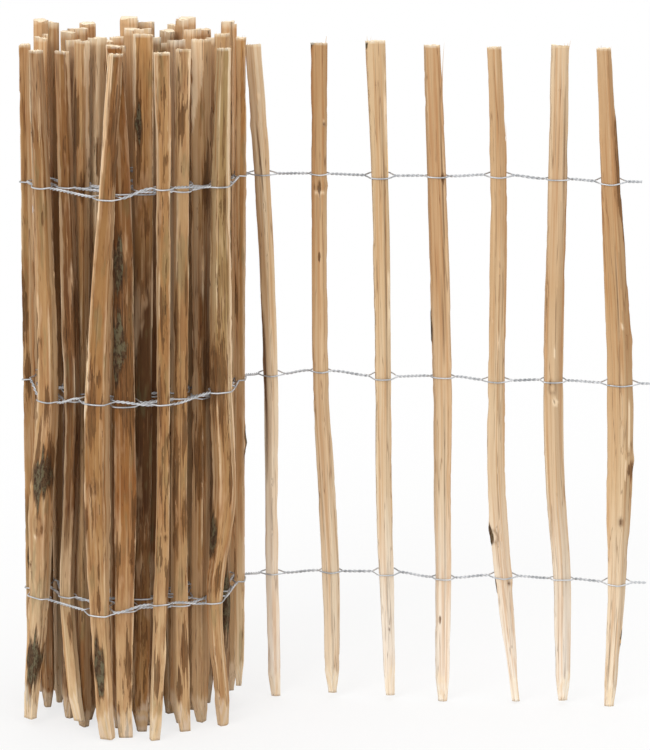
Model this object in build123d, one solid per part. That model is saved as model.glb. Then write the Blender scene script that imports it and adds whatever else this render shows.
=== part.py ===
from build123d import *
import math
import os

# Sizes of the fence in millimetres. The names say what each one drives.
HEIGHT = 1000.0          # a pale, from the floor to its nominal top
PALE_WIDTH = 26.5        # a pale along the fence, before its own variation
PALE_THICKNESS = 19.0    # a pale through the fence, before its own variation
PITCH = 87.2             # from one pale to the next along the wire
WIRE = 1.8               # side of the square that stands for a 2 mm round strand
GAP = 0.1                # clearance between two pieces that touch
EYE_REACH = 7.0          # from a pale's side to where its two strands meet
BEVEL = 36.0             # length of the blunt point hewn on a foot
STUB = 24.0              # twisted wire left over beyond the first and last pale
STUB_BEND = 75.0         # how far the first stub is turned into the core, in degrees

# The roll and its loose end
ROLL_PALES = 47
CORE_RADIUS = 0.665 * PITCH  # from the roll's axis to the first pale
LAST_ANGLE = -8.0        # where the last rolled pale stands, seen from above
LEAVE_ANGLE = 61.0       # direction from the last rolled pale to the first loose one
LEAVE_REACH = 0.89 * PITCH   # how far apart those two stand, as that wire is bent
TAIL_HEADING = -3.5      # direction of the loose end, in degrees

# How the wire lets a pale settle on the turn below it
MAX_LEAN = 14.0          # in or out, between the lowest and the highest row
MAX_BOW = 3.0            # of the middle row against the other two
MAX_DIP = 0.8            # how much nearer the axis than the pale before it
SLIDES = [-6.0, -4.0, -2.0, 0.0, 2.0, 4.0, 6.0]   # slack of the wire, tried in turn
LIFT = 0.5               # step outward while the wire to a pale would cross another
SLIDE_COST = 0.15        # radius that a pale must gain for each millimetre it slides

# How much one rolled pale differs from the next, to either side of the nominal
WIDTH_SPREAD, THICKNESS_SPREAD, TAPER_SPREAD = 0.13, 0.12, 0.08
TOP_RISE, TOP_SPREAD = 9.0, 17.0
FOOT_DROP, FOOT_SPREAD = 4.0, 14.0   # feet that would go below the floor stand on it
LEAN_SPREAD, SWEEP_SPREAD = 9.0, 3.5
POINT = 0.55             # width left at the foot of a rolled pale
POINT_SHIFT = 0.2        # how far the point can stand to one side, as a share of width

# Heights of the three rows of wire, as shares of the pale's length
ROWS = {"bottom": 0.2, "middle": 0.5, "top": 0.8}
BEVEL_SHARE = BEVEL / HEIGHT

# Cross sections as split from a log: a unit wide and a unit thick, outer face up.
# Each list runs counter-clockwise from the inner left corner.
SECTIONS = {
    "slab": [(-0.50, -0.42), (0.46, -0.50), (0.50, 0.40), (-0.44, 0.50)],
    "wedge": [(-0.50, -0.36), (0.50, -0.50), (0.42, 0.50), (-0.46, 0.12)],
    "billet": [(-0.42, -0.50), (0.40, -0.46), (0.50, 0.18), (0.06, 0.50), (-0.50, 0.26)],
    "quarter": [(-0.50, -0.22), (0.12, -0.50), (0.50, -0.30), (0.44, 0.50), (-0.38, 0.44)],
}
KINDS = ["slab", "billet", "wedge", "quarter", "slab", "billet", "wedge"]

# Levels of a pale as shares of its length; a shaped one has one more, in its belly.
LEVELS = [0.0, BEVEL_SHARE, ROWS["bottom"], ROWS["middle"], ROWS["top"], 1.0]
BELLY_SHARE = 0.5 * (ROWS["bottom"] + ROWS["middle"])
SHAPED_LEVELS = LEVELS[:3] + [BELLY_SHARE] + LEVELS[3:]

# The loose pales as the photograph shows them, left to right: kind of section, size
# against the nominal, foot above the floor, top below the nominal, then how far the
# pale stands off its place at the shaped levels and how it swells there.
TAIL = [
    ("billet", 0.85, 0.0, 11.0, [17, 14, 10, 8, 6, -8, -22],
     [0.62, 0.85, 0.90, 0.90, 1.00, 1.10, 1.10]),
    ("billet", 0.93, 8.0, 7.0, [16, 15, 11, 2, -7, -12, -14],
     [0.55, 0.95, 1.12, 1.10, 0.98, 0.95, 1.00]),
    ("slab", 0.95, 7.0, 3.0, [16, 14, 7, 1, -2, -11, -21],
     [0.55, 0.70, 0.95, 1.00, 1.00, 1.05, 1.20]),
    ("quarter", 1.04, 0.0, 8.0, [8, 7, 5, 1, -2, -16, -26],
     [0.55, 0.84, 0.92, 0.98, 1.06, 1.04, 0.88]),
    ("billet", 0.96, 3.0, 9.0, [32, 27, 8, -6, -9, -13, -24],
     [0.50, 0.58, 1.05, 1.06, 1.04, 0.98, 0.82]),
    ("slab", 1.06, 7.0, 5.0, [15, 14, 8, -6, -13, -15, -17],
     [0.50, 0.82, 0.98, 1.05, 1.05, 1.00, 0.95]),
    ("billet", 1.17, 0.0, 8.0, [-2, -1, 3, 2, -2, -26, -42],
     [0.48, 0.66, 0.90, 1.28, 1.28, 0.92, 0.72]),
]

# The rolled pales that show in front, by their number from the core, in the same way;
# the first value is how far the foot stands out from the roll.
FRONT = {
    33: (0.0, "slab", 0.95, 15.0, 8.0, [7, -1, -13, -4, 1, -11, -19],
         [0.61, 0.71, 0.80, 0.84, 0.83, 0.87, 0.77]),
    34: (0.0, "slab", 1.05, 0.0, -5.0, [-5, -7, -6, -4, -4, -7, -16],
         [0.75, 0.85, 1.06, 1.21, 1.14, 1.07, 0.86]),
    35: (0.0, "wedge", 1.00, 0.0, 1.0, [-3, -7, -10, -12, -10, -7, -5],
         [0.60, 0.80, 0.79, 0.78, 0.78, 0.76, 0.80]),
    42: (0.0, "wedge", 0.95, 9.0, 6.0, [0, 0, 0, 0, 0, 0, 0],
         [0.60, 0.95, 1.00, 1.00, 1.00, 1.00, 0.95]),
    43: (18.0, "slab", 1.05, 10.0, 8.0, [-36, -36, -34, -26, -7, -16, -26],
         [0.65, 0.75, 1.03, 1.20, 1.00, 0.86, 0.72]),
    44: (0.0, "quarter", 1.05, 2.0, 3.0, [11, 7, 1, -1, 0, 18, 33],
         [0.77, 0.92, 1.07, 1.36, 1.30, 0.89, 0.78]),
    45: (0.0, "slab", 0.95, 1.0, 2.0, [-6, -4, 3, 7, 8, 9, 8],
         [0.57, 0.73, 0.83, 0.72, 0.71, 0.80, 0.89]),
    46: (0.0, "billet", 1.05, 0.0, 2.0, [27, 25, 10, 31, 24, 21, 27],
         [0.59, 0.81, 0.90, 1.27, 1.26, 1.03, 0.77]),
    47: (0.0, "slab", 0.85, 40.0, -6.0, [0, 0, 0, 0, 0, 0, 0],
         [0.60, 0.95, 1.00, 1.00, 1.00, 1.00, 0.95]),
}


def vary(number, trait):
    """A steady value between -1 and 1 for one trait of one pale."""
    wave = math.sin(number * 12.9898 + trait * 78.233) * 43758.5453
    return 2.0 * (wave - math.floor(wave)) - 1.0


class Frame:
    """A place in the plan: an origin, the way along the fence, the way outward."""

    def __init__(self, x, y, heading):
        self.x, self.y = x, y
        self.along = (math.cos(heading), math.sin(heading))
        self.out = (math.sin(heading), -math.cos(heading))

    def plan(self, point):
        a, b = point
        return (self.x + a * self.along[0] + b * self.out[0],
                self.y + a * self.along[1] + b * self.out[1])

    def local(self, point):
        dx, dy = point[0] - self.x, point[1] - self.y
        return (dx * self.along[0] + dy * self.along[1], dx * self.out[0] + dy * self.out[1])


class Pale:
    """One cleft pale: a section carried up through levels that shift and swell it."""

    def __init__(self, kind, width, thickness, foot, top, shares, shifts, swells):
        self.unit = SECTIONS[kind]
        self.width, self.thickness = width, thickness
        self.foot, self.top = foot, top
        self.shares, self.shifts, self.swells = shares, shifts, swells
        self.bows = [0.0] * len(shares)
        self.splay = 0.0
        self.frame = None

    def height(self, share):
        if share == 0.0:
            return self.foot
        if share == 1.0:
            return self.top
        return share * HEIGHT + (self.foot if share == BEVEL_SHARE else 0.0)

    def outline(self, share, bow=None):
        """The section at one level, in the pale's own frame."""
        if share not in self.shares:
            return self.between(share, bow)
        level = self.shares.index(share)
        swell, shift = self.swells[level], self.shifts[level]
        rise = self.bows[level] if bow is None else bow
        return [(shift + swell * self.width * u, rise + swell * self.thickness * v)
                for u, v in self.unit]

    def between(self, share, bow):
        """The section where the pale runs straight from one level to the next."""
        low = max(s for s in self.shares if s < share)
        high = min(s for s in self.shares if s > share)
        part = (share - low) / (high - low)
        return [(a + part * (c - a), b + part * (d - b))
                for (a, b), (c, d) in zip(self.outline(low, bow), self.outline(high, bow))]


def shaped_pale(kind, size, foot, drop, shifts, swells):
    return Pale(kind, size * PALE_WIDTH, size * PALE_THICKNESS, foot, HEIGHT - drop,
                SHAPED_LEVELS, shifts, swells)


def roll_pale(number):
    """A pale of the roll, with its own size, lean, sweep and cut."""
    if number + 1 in FRONT:
        splay, *shape = FRONT[number + 1]
        pale = shaped_pale(*shape)
        pale.splay = splay
        return pale
    shares = LEVELS
    width = PALE_WIDTH * (1.0 + WIDTH_SPREAD * vary(number, 1))
    thickness = PALE_THICKNESS * (1.0 + THICKNESS_SPREAD * vary(number, 2))
    foot = max(0.0, FOOT_SPREAD * vary(number, 3) - FOOT_DROP)
    top = HEIGHT + TOP_RISE + TOP_SPREAD * vary(number, 4)
    lean, sweep = LEAN_SPREAD * vary(number, 5), SWEEP_SPREAD * vary(number, 6)
    taper = TAPER_SPREAD * vary(number, 7)
    shifts = [lean * (2.0 * s - 1.0) + sweep * math.sin(math.pi * s) for s in shares]
    swells = [1.0 + taper * (2.0 * s - 1.0) for s in shares]
    swells[0] = POINT
    shifts[0] = shifts[1] + POINT_SHIFT * width * vary(number, 8)
    kind = KINDS[number % len(KINDS)]
    return Pale(kind, width, thickness, foot, top, shares, shifts, swells)


def grow(polygon, distance):
    """A convex polygon, counter-clockwise, with every side moved outward."""
    lines = []
    for (ax, ay), (bx, by) in zip(polygon, polygon[1:] + polygon[:1]):
        length = math.hypot(bx - ax, by - ay)
        nx, ny = (by - ay) / length, (ax - bx) / length
        lines.append((nx, ny, nx * ax + ny * ay + distance))
    corners = []
    for (p, q, c), (r, s, d) in zip(lines[-1:] + lines[:-1], lines):
        cross = p * s - q * r
        corners.append(((c * s - d * q) / cross, (p * d - r * c) / cross))
    return corners


def bulge(points):
    """The outer chain of points between the first and the last, seen from outside."""
    chain = []
    for point in points[:1] + sorted(points[1:-1]) + points[-1:]:
        while len(chain) > 1:
            (ax, ay), (bx, by) = chain[-2], chain[-1]
            if (bx - ax) * (point[1] - ay) - (by - ay) * (point[0] - ax) < 0:
                break
            chain.pop()
        chain.append(point)
    return chain


def bare_body(pale, share, bow=None):
    """The convex body of a bare pale about one level; the foot counts at the bevel."""
    points = pale.outline(share, bow)
    if share == BEVEL_SHARE:
        points = points + pale.outline(0.0, bow)
    upper = bulge(sorted(points))
    lower = bulge(sorted((x, -y) for x, y in points))
    return [(x, -y) for x, y in lower] + upper[-2:0:-1]


def eye(outline):
    """Paths of the two strands round one pale: outer chain and inner chain."""
    left, right = min(x for x, _ in outline), max(x for x, _ in outline)
    middle = 0.5 * (min(y for _, y in outline) + max(y for _, y in outline))
    tips = (left - EYE_REACH, middle), (right + EYE_REACH, middle)
    hugged = grow(outline, 0.5 * WIRE + GAP)
    outer = bulge([tips[0]] + [p for p in hugged if p[1] > middle] + [tips[1]])
    flipped = [(x, -y) for x, y in hugged if y < middle]
    inner = bulge([(tips[0][0], -middle)] + flipped + [(tips[1][0], -middle)])
    return outer, [(x, -y) for x, y in inner]


def eye_body(outline):
    """The convex body that a pale and its two strands fill at a row."""
    outer, inner = eye(outline)
    return grow(inner + outer[-2:0:-1], 0.5 * WIRE)


def band_bodies(path):
    """The bodies that the strands fill between two pales, with room for sharp bends."""
    bodies = []
    for start, end in zip(path, path[1:]):
        frame = Frame(*start, math.atan2(end[1] - start[1], end[0] - start[0]))
        length, half = math.dist(start, end), 0.5 * WIRE
        near, far = -WIRE, length + WIRE
        corners = [(near, -half), (far, -half), (far, half), (near, half)]
        bodies.append([frame.plan(corner) for corner in corners])
    return bodies


def heights_at(polygon, x):
    found = []
    for (ax, ay), (bx, by) in zip(polygon, polygon[1:] + polygon[:1]):
        if min(ax, bx) <= x <= max(ax, bx) and ax != bx:
            found.append(ay + (by - ay) * (x - ax) / (bx - ax))
    return found


def lift_over(body, obstacles):
    """How far outward a body must stand to rest on the outermost obstacle."""
    needed = 0.0
    low, high = min(x for x, _ in body), max(x for x, _ in body)
    for obstacle in obstacles:
        left = max(low, min(x for x, _ in obstacle))
        right = min(high, max(x for x, _ in obstacle))
        if left >= right:
            continue
        for x, _ in body + obstacle + [(left, 0.0), (right, 0.0)]:
            over, under = heights_at(obstacle, x), heights_at(body, x)
            if over and under:
                needed = max(needed, max(over) - min(under) + GAP)
    return needed


def taut(start, end, bodies):
    """The strands' path between two pales, drawn tight over what lies inside it."""
    frame = Frame(*start, math.atan2(end[1] - start[1], end[0] - start[0]))
    length = math.dist(start, end)
    held = []
    for body in bodies:
        for point in grow([frame.local(p) for p in body], 0.5 * WIRE + GAP):
            if 0.0 < point[0] < length and point[1] > 0.0:
                held.append(point)
    return [frame.plan(p) for p in bulge([(0.0, 0.0)] + held + [(length, 0.0)])]


def side_of(a, b, p):
    return (b[0] - a[0]) * (p[1] - a[1]) - (b[1] - a[1]) * (p[0] - a[0])


def meets(path, body):
    """Whether a path crosses a side of a body."""
    sides = list(zip(body, body[1:] + body[:1]))
    for a, b in zip(path, path[1:]):
        for c, d in sides:
            if side_of(a, b, c) * side_of(a, b, d) < 0.0 > side_of(c, d, a) * side_of(c, d, b):
                return True
    return False


def stiffen(low, middle, high):
    """Radii at the three rows that a stiff pale can follow with a slight bow."""
    if abs(high - low) > MAX_LEAN:
        low, high = max(low, high - MAX_LEAN), max(high, low - MAX_LEAN)
    mean = 0.5 * (low + high)
    middle = max(middle, mean - MAX_BOW)
    lift = max(0.0, middle - mean - MAX_BOW)
    return low + lift, middle, high + lift


def bow_at(pale, share, radii):
    """How far outward a pale is at one level, from where it is at the middle row."""
    low, middle, high = radii
    first, second, third = ROWS.values()
    if share < second:
        bow = (low - middle) * (second - share) / (second - first)
    else:
        bow = (high - middle) * (share - second) / (third - second)
    return bow + pale.splay * max(0.0, 1.0 - share / first)


def stub_path(pale, row):
    """The spare wire before the first pale, turned into the core."""
    tip = pale.frame.plan(eye(pale.outline(ROWS[row]))[0][0])
    turned = Frame(*tip, math.atan2(pale.frame.along[1], pale.frame.along[0]))
    bend = math.radians(STUB_BEND)
    return [turned.plan((-STUB * math.cos(bend), -STUB * math.sin(bend))), tip]


class Winding:
    """The fence as laid so far, with the bodies that a further pale must clear."""

    def __init__(self):
        self.pales = []
        self.bodies = {row: [] for row in ROWS}   # pales and strands at each row
        self.bare = {share: [] for share in (BEVEL_SHARE, BELLY_SHARE, 1.0)}
        self.bands = {row: [] for row in ROWS}

    def rest(self, pale, angle, least):
        """Radii at the three rows where the pale rests on the earlier turns."""
        frame = Frame(0.0, 0.0, angle + 0.5 * math.pi)
        radii = []
        for row, share in ROWS.items():
            near = [[frame.local(p) for p in body] for body in self.bodies[row]]
            body = eye_body(pale.outline(share, 0.0))
            radii.append(max(least, lift_over(body, near)))
        radii = stiffen(*radii)
        needed = []
        for share, bodies in self.bare.items():
            near = [[frame.local(p) for p in body] for body in bodies]
            needed.append(lift_over(bare_body(pale, share, 0.0), near))
        for _ in range(4):
            foot, belly, top = [max(0.0, need - radii[1] - bow_at(pale, share, radii))
                                for need, share in zip(needed, self.bare)]
            if foot + belly + top == 0.0:
                break
            low, middle, high = radii
            radii = stiffen(low + max(foot, belly), middle + belly, high + top)
        return radii

    def set_in_roll(self, pale, angle, least):
        """Slide the pale within the wire's slack to where it nestles deepest."""
        best = None
        for slide in SLIDES:
            turned = angle + slide / least
            radii = self.rest(pale, turned, least)
            cost = sum(radii) / 3.0 + SLIDE_COST * abs(slide)
            if best is None or cost < best[0]:
                best = cost, turned, radii
        _, turned, radii = best
        pale.bows = [bow_at(pale, share, radii) for share in pale.shares]
        radius = radii[1]
        while True:
            x, y = radius * math.cos(turned), radius * math.sin(turned)
            pale.frame = Frame(x, y, turned + 0.5 * math.pi)
            if not any(self.tangled(row, self.band_to(pale, row)) for row in ROWS):
                return turned, radius
            radius += LIFT

    def band_to(self, pale, row):
        """The twisted wire from the last pale to this one."""
        if not self.pales:
            return []
        share, before = ROWS[row], self.pales[-1]
        start = before.frame.plan(eye(before.outline(share))[0][-1])
        end = pale.frame.plan(eye(pale.outline(share))[0][0])
        return taut(start, end, self.bodies[row][:-1])

    def tangled(self, row, path):
        return any(meets(path, body) for body in self.bodies[row][:-1])

    def add(self, pale):
        """Join a pale that stands in its frame to the one before it."""
        for row, share in ROWS.items():
            if self.pales:
                path = self.band_to(pale, row)
                self.bands[row].append(path)
            else:
                path = stub_path(pale, row)
            self.bodies[row] += band_bodies(path)
            body = eye_body(pale.outline(share))
            self.bodies[row].append([pale.frame.plan(p) for p in body])
        for share, bodies in self.bare.items():
            bodies.append([pale.frame.plan(p) for p in bare_body(pale, share)])
        self.pales.append(pale)


def wind_roll(angle):
    """Lay the rolled pales from the core outward, starting at the given angle."""
    winding = Winding()
    radius = CORE_RADIUS
    for number in range(ROLL_PALES):
        pale = roll_pale(number)
        least = max(CORE_RADIUS, radius - MAX_DIP)
        if number:
            angle += 2.0 * math.asin(0.5 * PITCH / radius)
        angle, radius = winding.set_in_roll(pale, angle, least)
        winding.add(pale)
    return winding, angle


def lay_fence():
    """The roll, turned so that its last pale stands at its angle, and the loose end."""
    _, reached = wind_roll(0.0)
    winding, _ = wind_roll(math.radians(LAST_ANGLE) - reached)
    last, leave = winding.pales[-1].frame, math.radians(LEAVE_ANGLE)
    heading = math.radians(TAIL_HEADING)
    for number, shape in enumerate(TAIL):
        pale = shaped_pale(*shape)
        x = last.x + LEAVE_REACH * math.cos(leave) + number * PITCH * math.cos(heading)
        y = last.y + LEAVE_REACH * math.sin(leave) + number * PITCH * math.sin(heading)
        pale.frame = Frame(x, y, heading)
        winding.add(pale)
    return winding


def strand_path(winding, row, side):
    """The plan of one strand: before one pale, behind the next, with its stubs."""
    share = ROWS[row]
    path = []
    for number, pale in enumerate(winding.pales):
        chain = eye(pale.outline(share))[(number + side) % 2]
        path += [pale.frame.plan(point) for point in chain]
        if number < len(winding.bands[row]):
            path += winding.bands[row][number][1:-1]
    last = winding.pales[-1].frame
    straight = Frame(*path[-1], math.atan2(last.along[1], last.along[0]))
    return stub_path(winding.pales[0], row)[:1] + path + [straight.plan((STUB, 0.0))]


def thicken(path):
    """The outline of a strand in the plan, mitred at every bend."""
    steps = list(zip(path, path[1:]))
    normals = []
    for (ax, ay), (bx, by) in steps:
        length = math.hypot(bx - ax, by - ay)
        normals.append(((ay - by) / length, (bx - ax) / length))
    left, right = [], []
    for (x, y), (p, q), (r, s) in zip(path, normals[:1] + normals, normals + normals[-1:]):
        reach = 0.5 * WIRE / (1.0 + p * r + q * s)
        dx, dy = (p + r) * reach, (q + s) * reach
        left.append((x + dx, y + dy))
        right.append((x - dx, y - dy))
    return right + left[::-1]


def polygon(points):
    return Face(Wire.make_polygon([Vector(*p) for p in points], close=True))


def pale_solid(pale, origin):
    """A pale as a closed shell of plane faces through its levels."""
    rings = []
    for share in pale.shares:
        ring = [pale.frame.plan(p) for p in reversed(pale.outline(share))]
        z = pale.height(share)
        rings.append([(x - origin[0], y - origin[1], z) for x, y in ring])
    faces = [polygon(rings[0][::-1]), polygon(rings[-1])]
    for low, high in zip(rings, rings[1:]):
        for k in range(len(low)):
            after = (k + 1) % len(low)
            faces.append(polygon([low[k], low[after], high[after], high[k]]))
    return Solid(Shell(faces))


def strand_solid(winding, row, side, origin):
    """One strand as a flat band of wire; the second strand lies just below the first."""
    outline = thicken(strand_path(winding, row, side))
    z = ROWS[row] * HEIGHT + (0.5 * GAP if side == 0 else -0.5 * GAP - WIRE)
    face = polygon([(x - origin[0], y - origin[1], z) for x, y in outline])
    return Solid.extrude(face, Vector(0, 0, WIRE))


def main():
    os.makedirs("parts", exist_ok=True)
    winding = lay_fence()
    first = winding.pales[0]
    foot = [first.frame.plan(p) for p in first.outline(0.0)]
    origin = [sum(p[k] for p in foot) / len(foot) for k in (0, 1)]
    for number, pale in enumerate(winding.pales, start=1):
        export_step(pale_solid(pale, origin), f"parts/pale_{number:02d}.step")
    for row in ROWS:
        for side, letter in enumerate("ab"):
            solid = strand_solid(winding, row, side, origin)
            export_step(solid, f"parts/wire_{row}_{letter}.step")


main()
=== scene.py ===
# %% [markdown]
# A roll of cleft paling fence.
# The real thing is a row of split wooden pales, held apart by three rows of twisted
# wire and wound up tight, with its outer end pulled out as a short stretch of fence.
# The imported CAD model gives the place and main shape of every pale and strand. This
# lesson dresses each of them: split and debarked wood, hewn feet, sawn tops and round
# galvanised wire that is really twisted.

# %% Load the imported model
import bpy
import math
import numpy as np
from mathutils import Matrix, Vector
from types import SimpleNamespace


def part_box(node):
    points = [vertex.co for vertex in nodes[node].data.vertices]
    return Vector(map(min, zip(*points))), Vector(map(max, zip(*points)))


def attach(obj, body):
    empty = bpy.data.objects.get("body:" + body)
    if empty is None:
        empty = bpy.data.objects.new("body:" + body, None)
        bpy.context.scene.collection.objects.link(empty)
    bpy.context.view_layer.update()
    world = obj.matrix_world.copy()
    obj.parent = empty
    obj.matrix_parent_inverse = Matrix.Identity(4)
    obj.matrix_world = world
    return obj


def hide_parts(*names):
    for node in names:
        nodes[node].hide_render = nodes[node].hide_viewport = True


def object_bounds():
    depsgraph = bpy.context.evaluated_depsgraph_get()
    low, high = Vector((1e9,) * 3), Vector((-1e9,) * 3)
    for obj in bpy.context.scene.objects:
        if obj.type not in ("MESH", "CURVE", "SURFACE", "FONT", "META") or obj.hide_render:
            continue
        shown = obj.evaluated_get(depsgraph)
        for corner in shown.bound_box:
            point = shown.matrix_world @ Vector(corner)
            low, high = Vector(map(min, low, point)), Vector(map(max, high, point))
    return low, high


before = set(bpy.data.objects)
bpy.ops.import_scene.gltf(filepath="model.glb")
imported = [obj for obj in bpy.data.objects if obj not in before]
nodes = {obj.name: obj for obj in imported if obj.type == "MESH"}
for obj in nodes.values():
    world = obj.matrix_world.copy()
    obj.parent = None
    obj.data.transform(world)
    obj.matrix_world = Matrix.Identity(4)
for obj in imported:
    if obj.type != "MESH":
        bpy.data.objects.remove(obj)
cad_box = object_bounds()
PALES = sorted(name for name in nodes if name.startswith("pale_"))
ROWS = ("bottom", "middle", "top")
LOOSE = PALES[-7:]        # the last seven stand in the part that is rolled out
print(len(PALES), "pales,", len(LOOSE), "of them loose; box", [tuple(v) for v in cad_box])

# %% [markdown]
# The camera stands about four metres back and a little above the roll, looking slightly
# down, so the tops of the back pales show above the front ones. A long lens keeps the
# pales upright. It could be placed by eye, but its place was worked out from the rows,
# tops and feet, so it is written here as plain numbers.

# %% Camera
CAMERA_PLACE = (0.3332, -3.9763, 1.429)
CAMERA_PITCH = 12.93      # degrees below the horizon
CAMERA_ROLL = 0.58        # degrees
CAMERA_LENS = 134.54      # millimetres, on a sensor whose long side is the next value
CAMERA_SENSOR = 36.0


def turned(axis, degrees):
    """A rotation about the X or the Z axis, as a matrix."""
    c, s = math.cos(math.radians(degrees)), math.sin(math.radians(degrees))
    if axis == "X":
        return np.array([[1, 0, 0], [0, c, -s], [0, s, c]])
    return np.array([[c, -s, 0], [s, c, 0], [0, 0, 1]])


def put_in_scene(name, data, pose=None):
    """An object in the scene, with its axes and place as the columns of a matrix."""
    made = bpy.data.objects.new(name, data)
    bpy.context.scene.collection.objects.link(made)
    if pose is not None:
        made.matrix_world = Matrix(pose.tolist())
    return made


camera_data = bpy.data.cameras.new("camera")
camera_data.lens, camera_data.sensor_width = CAMERA_LENS, CAMERA_SENSOR
camera_data.sensor_fit = "AUTO"
pose = np.eye(4)
pose[:3, :3] = turned("X", 90.0 - CAMERA_PITCH) @ turned("Z", CAMERA_ROLL)
pose[:3, 3] = CAMERA_PLACE
bpy.context.scene.camera = put_in_scene("camera", camera_data, pose)
print("camera at", CAMERA_PLACE, "lens", CAMERA_LENS)

# %% [markdown]
# The colours of wood and zinc are written as on a paint card: red, green and blue, each
# as a number of two digits that is counted in sixteens. Screens count colours so, but a
# shader counts light, so the numbers are turned into linear ones where they are used.

# %% Colours of a paint card
def colour(code):
    """A colour written as on a paint card, turned into the linear numbers of a shader."""
    parts = [int(code[k:k + 2], 16) / 255.0 for k in (0, 2, 4)]
    return tuple(c / 12.92 if c <= 0.04045 else ((c + 0.055) / 1.055) ** 2.4
                 for c in parts) + (1.0,)


def linear(code):
    """The same without its fourth number, for sums with arrays."""
    return np.array(colour(code)[:3])


print("cream is", linear("EDDBC1").round(3))

# %% [markdown]
# Shader maths reads best when it is written as sums. A Value wraps one output socket,
# and an expression such as 1 - mask * 0.5 adds the Math nodes by itself. A Paint holds
# the nodes of one material, or of the surroundings, and makes any other node from its
# type, its settings and what goes into its sockets.

# %% Sums of sockets
class Value:
    """An output socket that takes part in sums."""

    def __init__(self, paint, socket):
        self.paint, self.socket = paint, socket

    def math(self, operation, first, second):
        return self.paint.node("ShaderNodeMath", {"operation": operation}, {0: first, 1: second})

    def __add__(self, other):
        return self.math("ADD", self, other)

    def __radd__(self, other):
        return self.math("ADD", other, self)

    def __sub__(self, other):
        return self.math("SUBTRACT", self, other)

    def __rsub__(self, other):
        return self.math("SUBTRACT", other, self)

    def __mul__(self, other):
        return self.math("MULTIPLY", self, other)

    def __rmul__(self, other):
        return self.math("MULTIPLY", other, self)

    def __abs__(self):
        return self.math("ABSOLUTE", self, 0.0)


print("sums of sockets ready")

# %% Nodes of a paint
class Paint:
    """The nodes of one new material, or of the world."""

    def __init__(self, name, shelf=bpy.data.materials):
        self.owner = shelf.new(name)
        self.owner.use_nodes = True
        self.tree = self.owner.node_tree
        self.tree.nodes.clear()

    def node(self, kind, settings=None, inputs=None, out=0):
        """Any node, from its type, its settings and what goes into its sockets."""
        made = self.tree.nodes.new(kind)
        for key, value in (settings or {}).items():
            setattr(made, key, value)
        for key, value in (inputs or {}).items():
            if isinstance(value, Value):
                self.tree.links.new(value.socket, made.inputs[key])
            else:
                card = isinstance(value, str)
                made.inputs[key].default_value = colour(value) if card else value
        return Value(self, made.outputs[out]) if len(made.outputs) else made

    def read(self, name, out="Fac"):
        """A number, vector or colour that the mesh carries at its points."""
        return self.node("ShaderNodeAttribute", {"attribute_name": name}, out=out)

    def noise(self, vector, across, along, detail=3.0, roughness=0.6):
        """Noise from 0 to 1, at a place that is first scaled across and along."""
        scaled = self.node("ShaderNodeVectorMath", {"operation": "MULTIPLY"},
                           {0: vector, 1: (across, across, along)})
        return self.node("ShaderNodeTexNoise", None,
                         {"Vector": scaled, "Scale": 1.0, "Detail": detail,
                          "Roughness": roughness, "Distortion": 0.0})

    def ramp(self, value, low, high):
        """Nought below the low value, one above the high one, and smooth between."""
        return self.node("ShaderNodeMapRange", {"interpolation_type": "SMOOTHSTEP"},
                         {"Value": value, "From Min": low, "From Max": high})

    def larger(self, first, second):
        return self.node("ShaderNodeMath", {"operation": "MAXIMUM"}, {0: first, 1: second})

    def mix(self, mask, first, second, blend="MIX"):
        """The first colour where the mask is nought, the second where it is one. A colour
        is a Value or is written as on a paint card."""
        return self.node("ShaderNodeMix", {"data_type": "RGBA", "blend_type": blend},
                         {0: mask, 6: first, 7: second}, out=2)

    def shade(self, mask, first, second):
        """The first colour, multiplied by the second where the mask is one."""
        return self.mix(mask, first, second, "MULTIPLY")

    def bump(self, strength, distance, height):
        return self.node("ShaderNodeBump", None,
                         {"Strength": strength, "Distance": distance, "Height": height})

    def finish(self, **inputs):
        """Join everything in one plain shader and give back the material."""
        shader = self.node("ShaderNodeBsdfPrincipled", None,
                           {key.replace("_", " "): value for key, value in inputs.items()})
        self.node("ShaderNodeOutputMaterial", None, {"Surface": shader})
        return self.owner


print("nodes of a paint ready")

# %% [markdown]
# The object stands in a white studio. A floor that only reflects light would never be
# quite white, and lamps strong enough to make it so would bleach the wood. So the floor
# is partly a white card, seen as white by the camera, and partly a pale surface that
# keeps the soft shadow under the feet. The surroundings are white to the camera and in
# the reflections of the wire, and a little dimmer as a source of light.

# %% Floor and surroundings
FLOOR_HALF = 40.0         # metres from the middle to an edge
FLOOR_GREY = 0.92
CARD_SHARE = 0.72         # how much of the floor is plain white to the camera
AMBIENT = 0.72            # light from the surroundings
WHITE = (1.0, 1.0, 1.0, 1.0)


def white_card(name):
    """Pale paint that the camera sees as partly white by itself."""
    paint = Paint(name)
    body = paint.node("ShaderNodeBsdfDiffuse", None, {"Color": (FLOOR_GREY,) * 3 + (1.0,)})
    glow = paint.node("ShaderNodeEmission", None, {"Color": WHITE, "Strength": 1.0})
    seen = paint.node("ShaderNodeLightPath", out="Is Camera Ray") * CARD_SHARE
    both = paint.node("ShaderNodeMixShader", None, {0: seen, 1: body, 2: glow})
    paint.node("ShaderNodeOutputMaterial", None, {"Surface": both})
    return paint.owner


floor_mesh = bpy.data.meshes.new("floor")
floor_mesh.from_pydata([(x * FLOOR_HALF, y * FLOOR_HALF, 0)
                        for x, y in ((-1, -1), (1, -1), (1, 1), (-1, 1))], [], [(0, 1, 2, 3)])
floor_mesh.materials.append(white_card("floor_card"))
put_in_scene("floor", floor_mesh)

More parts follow.
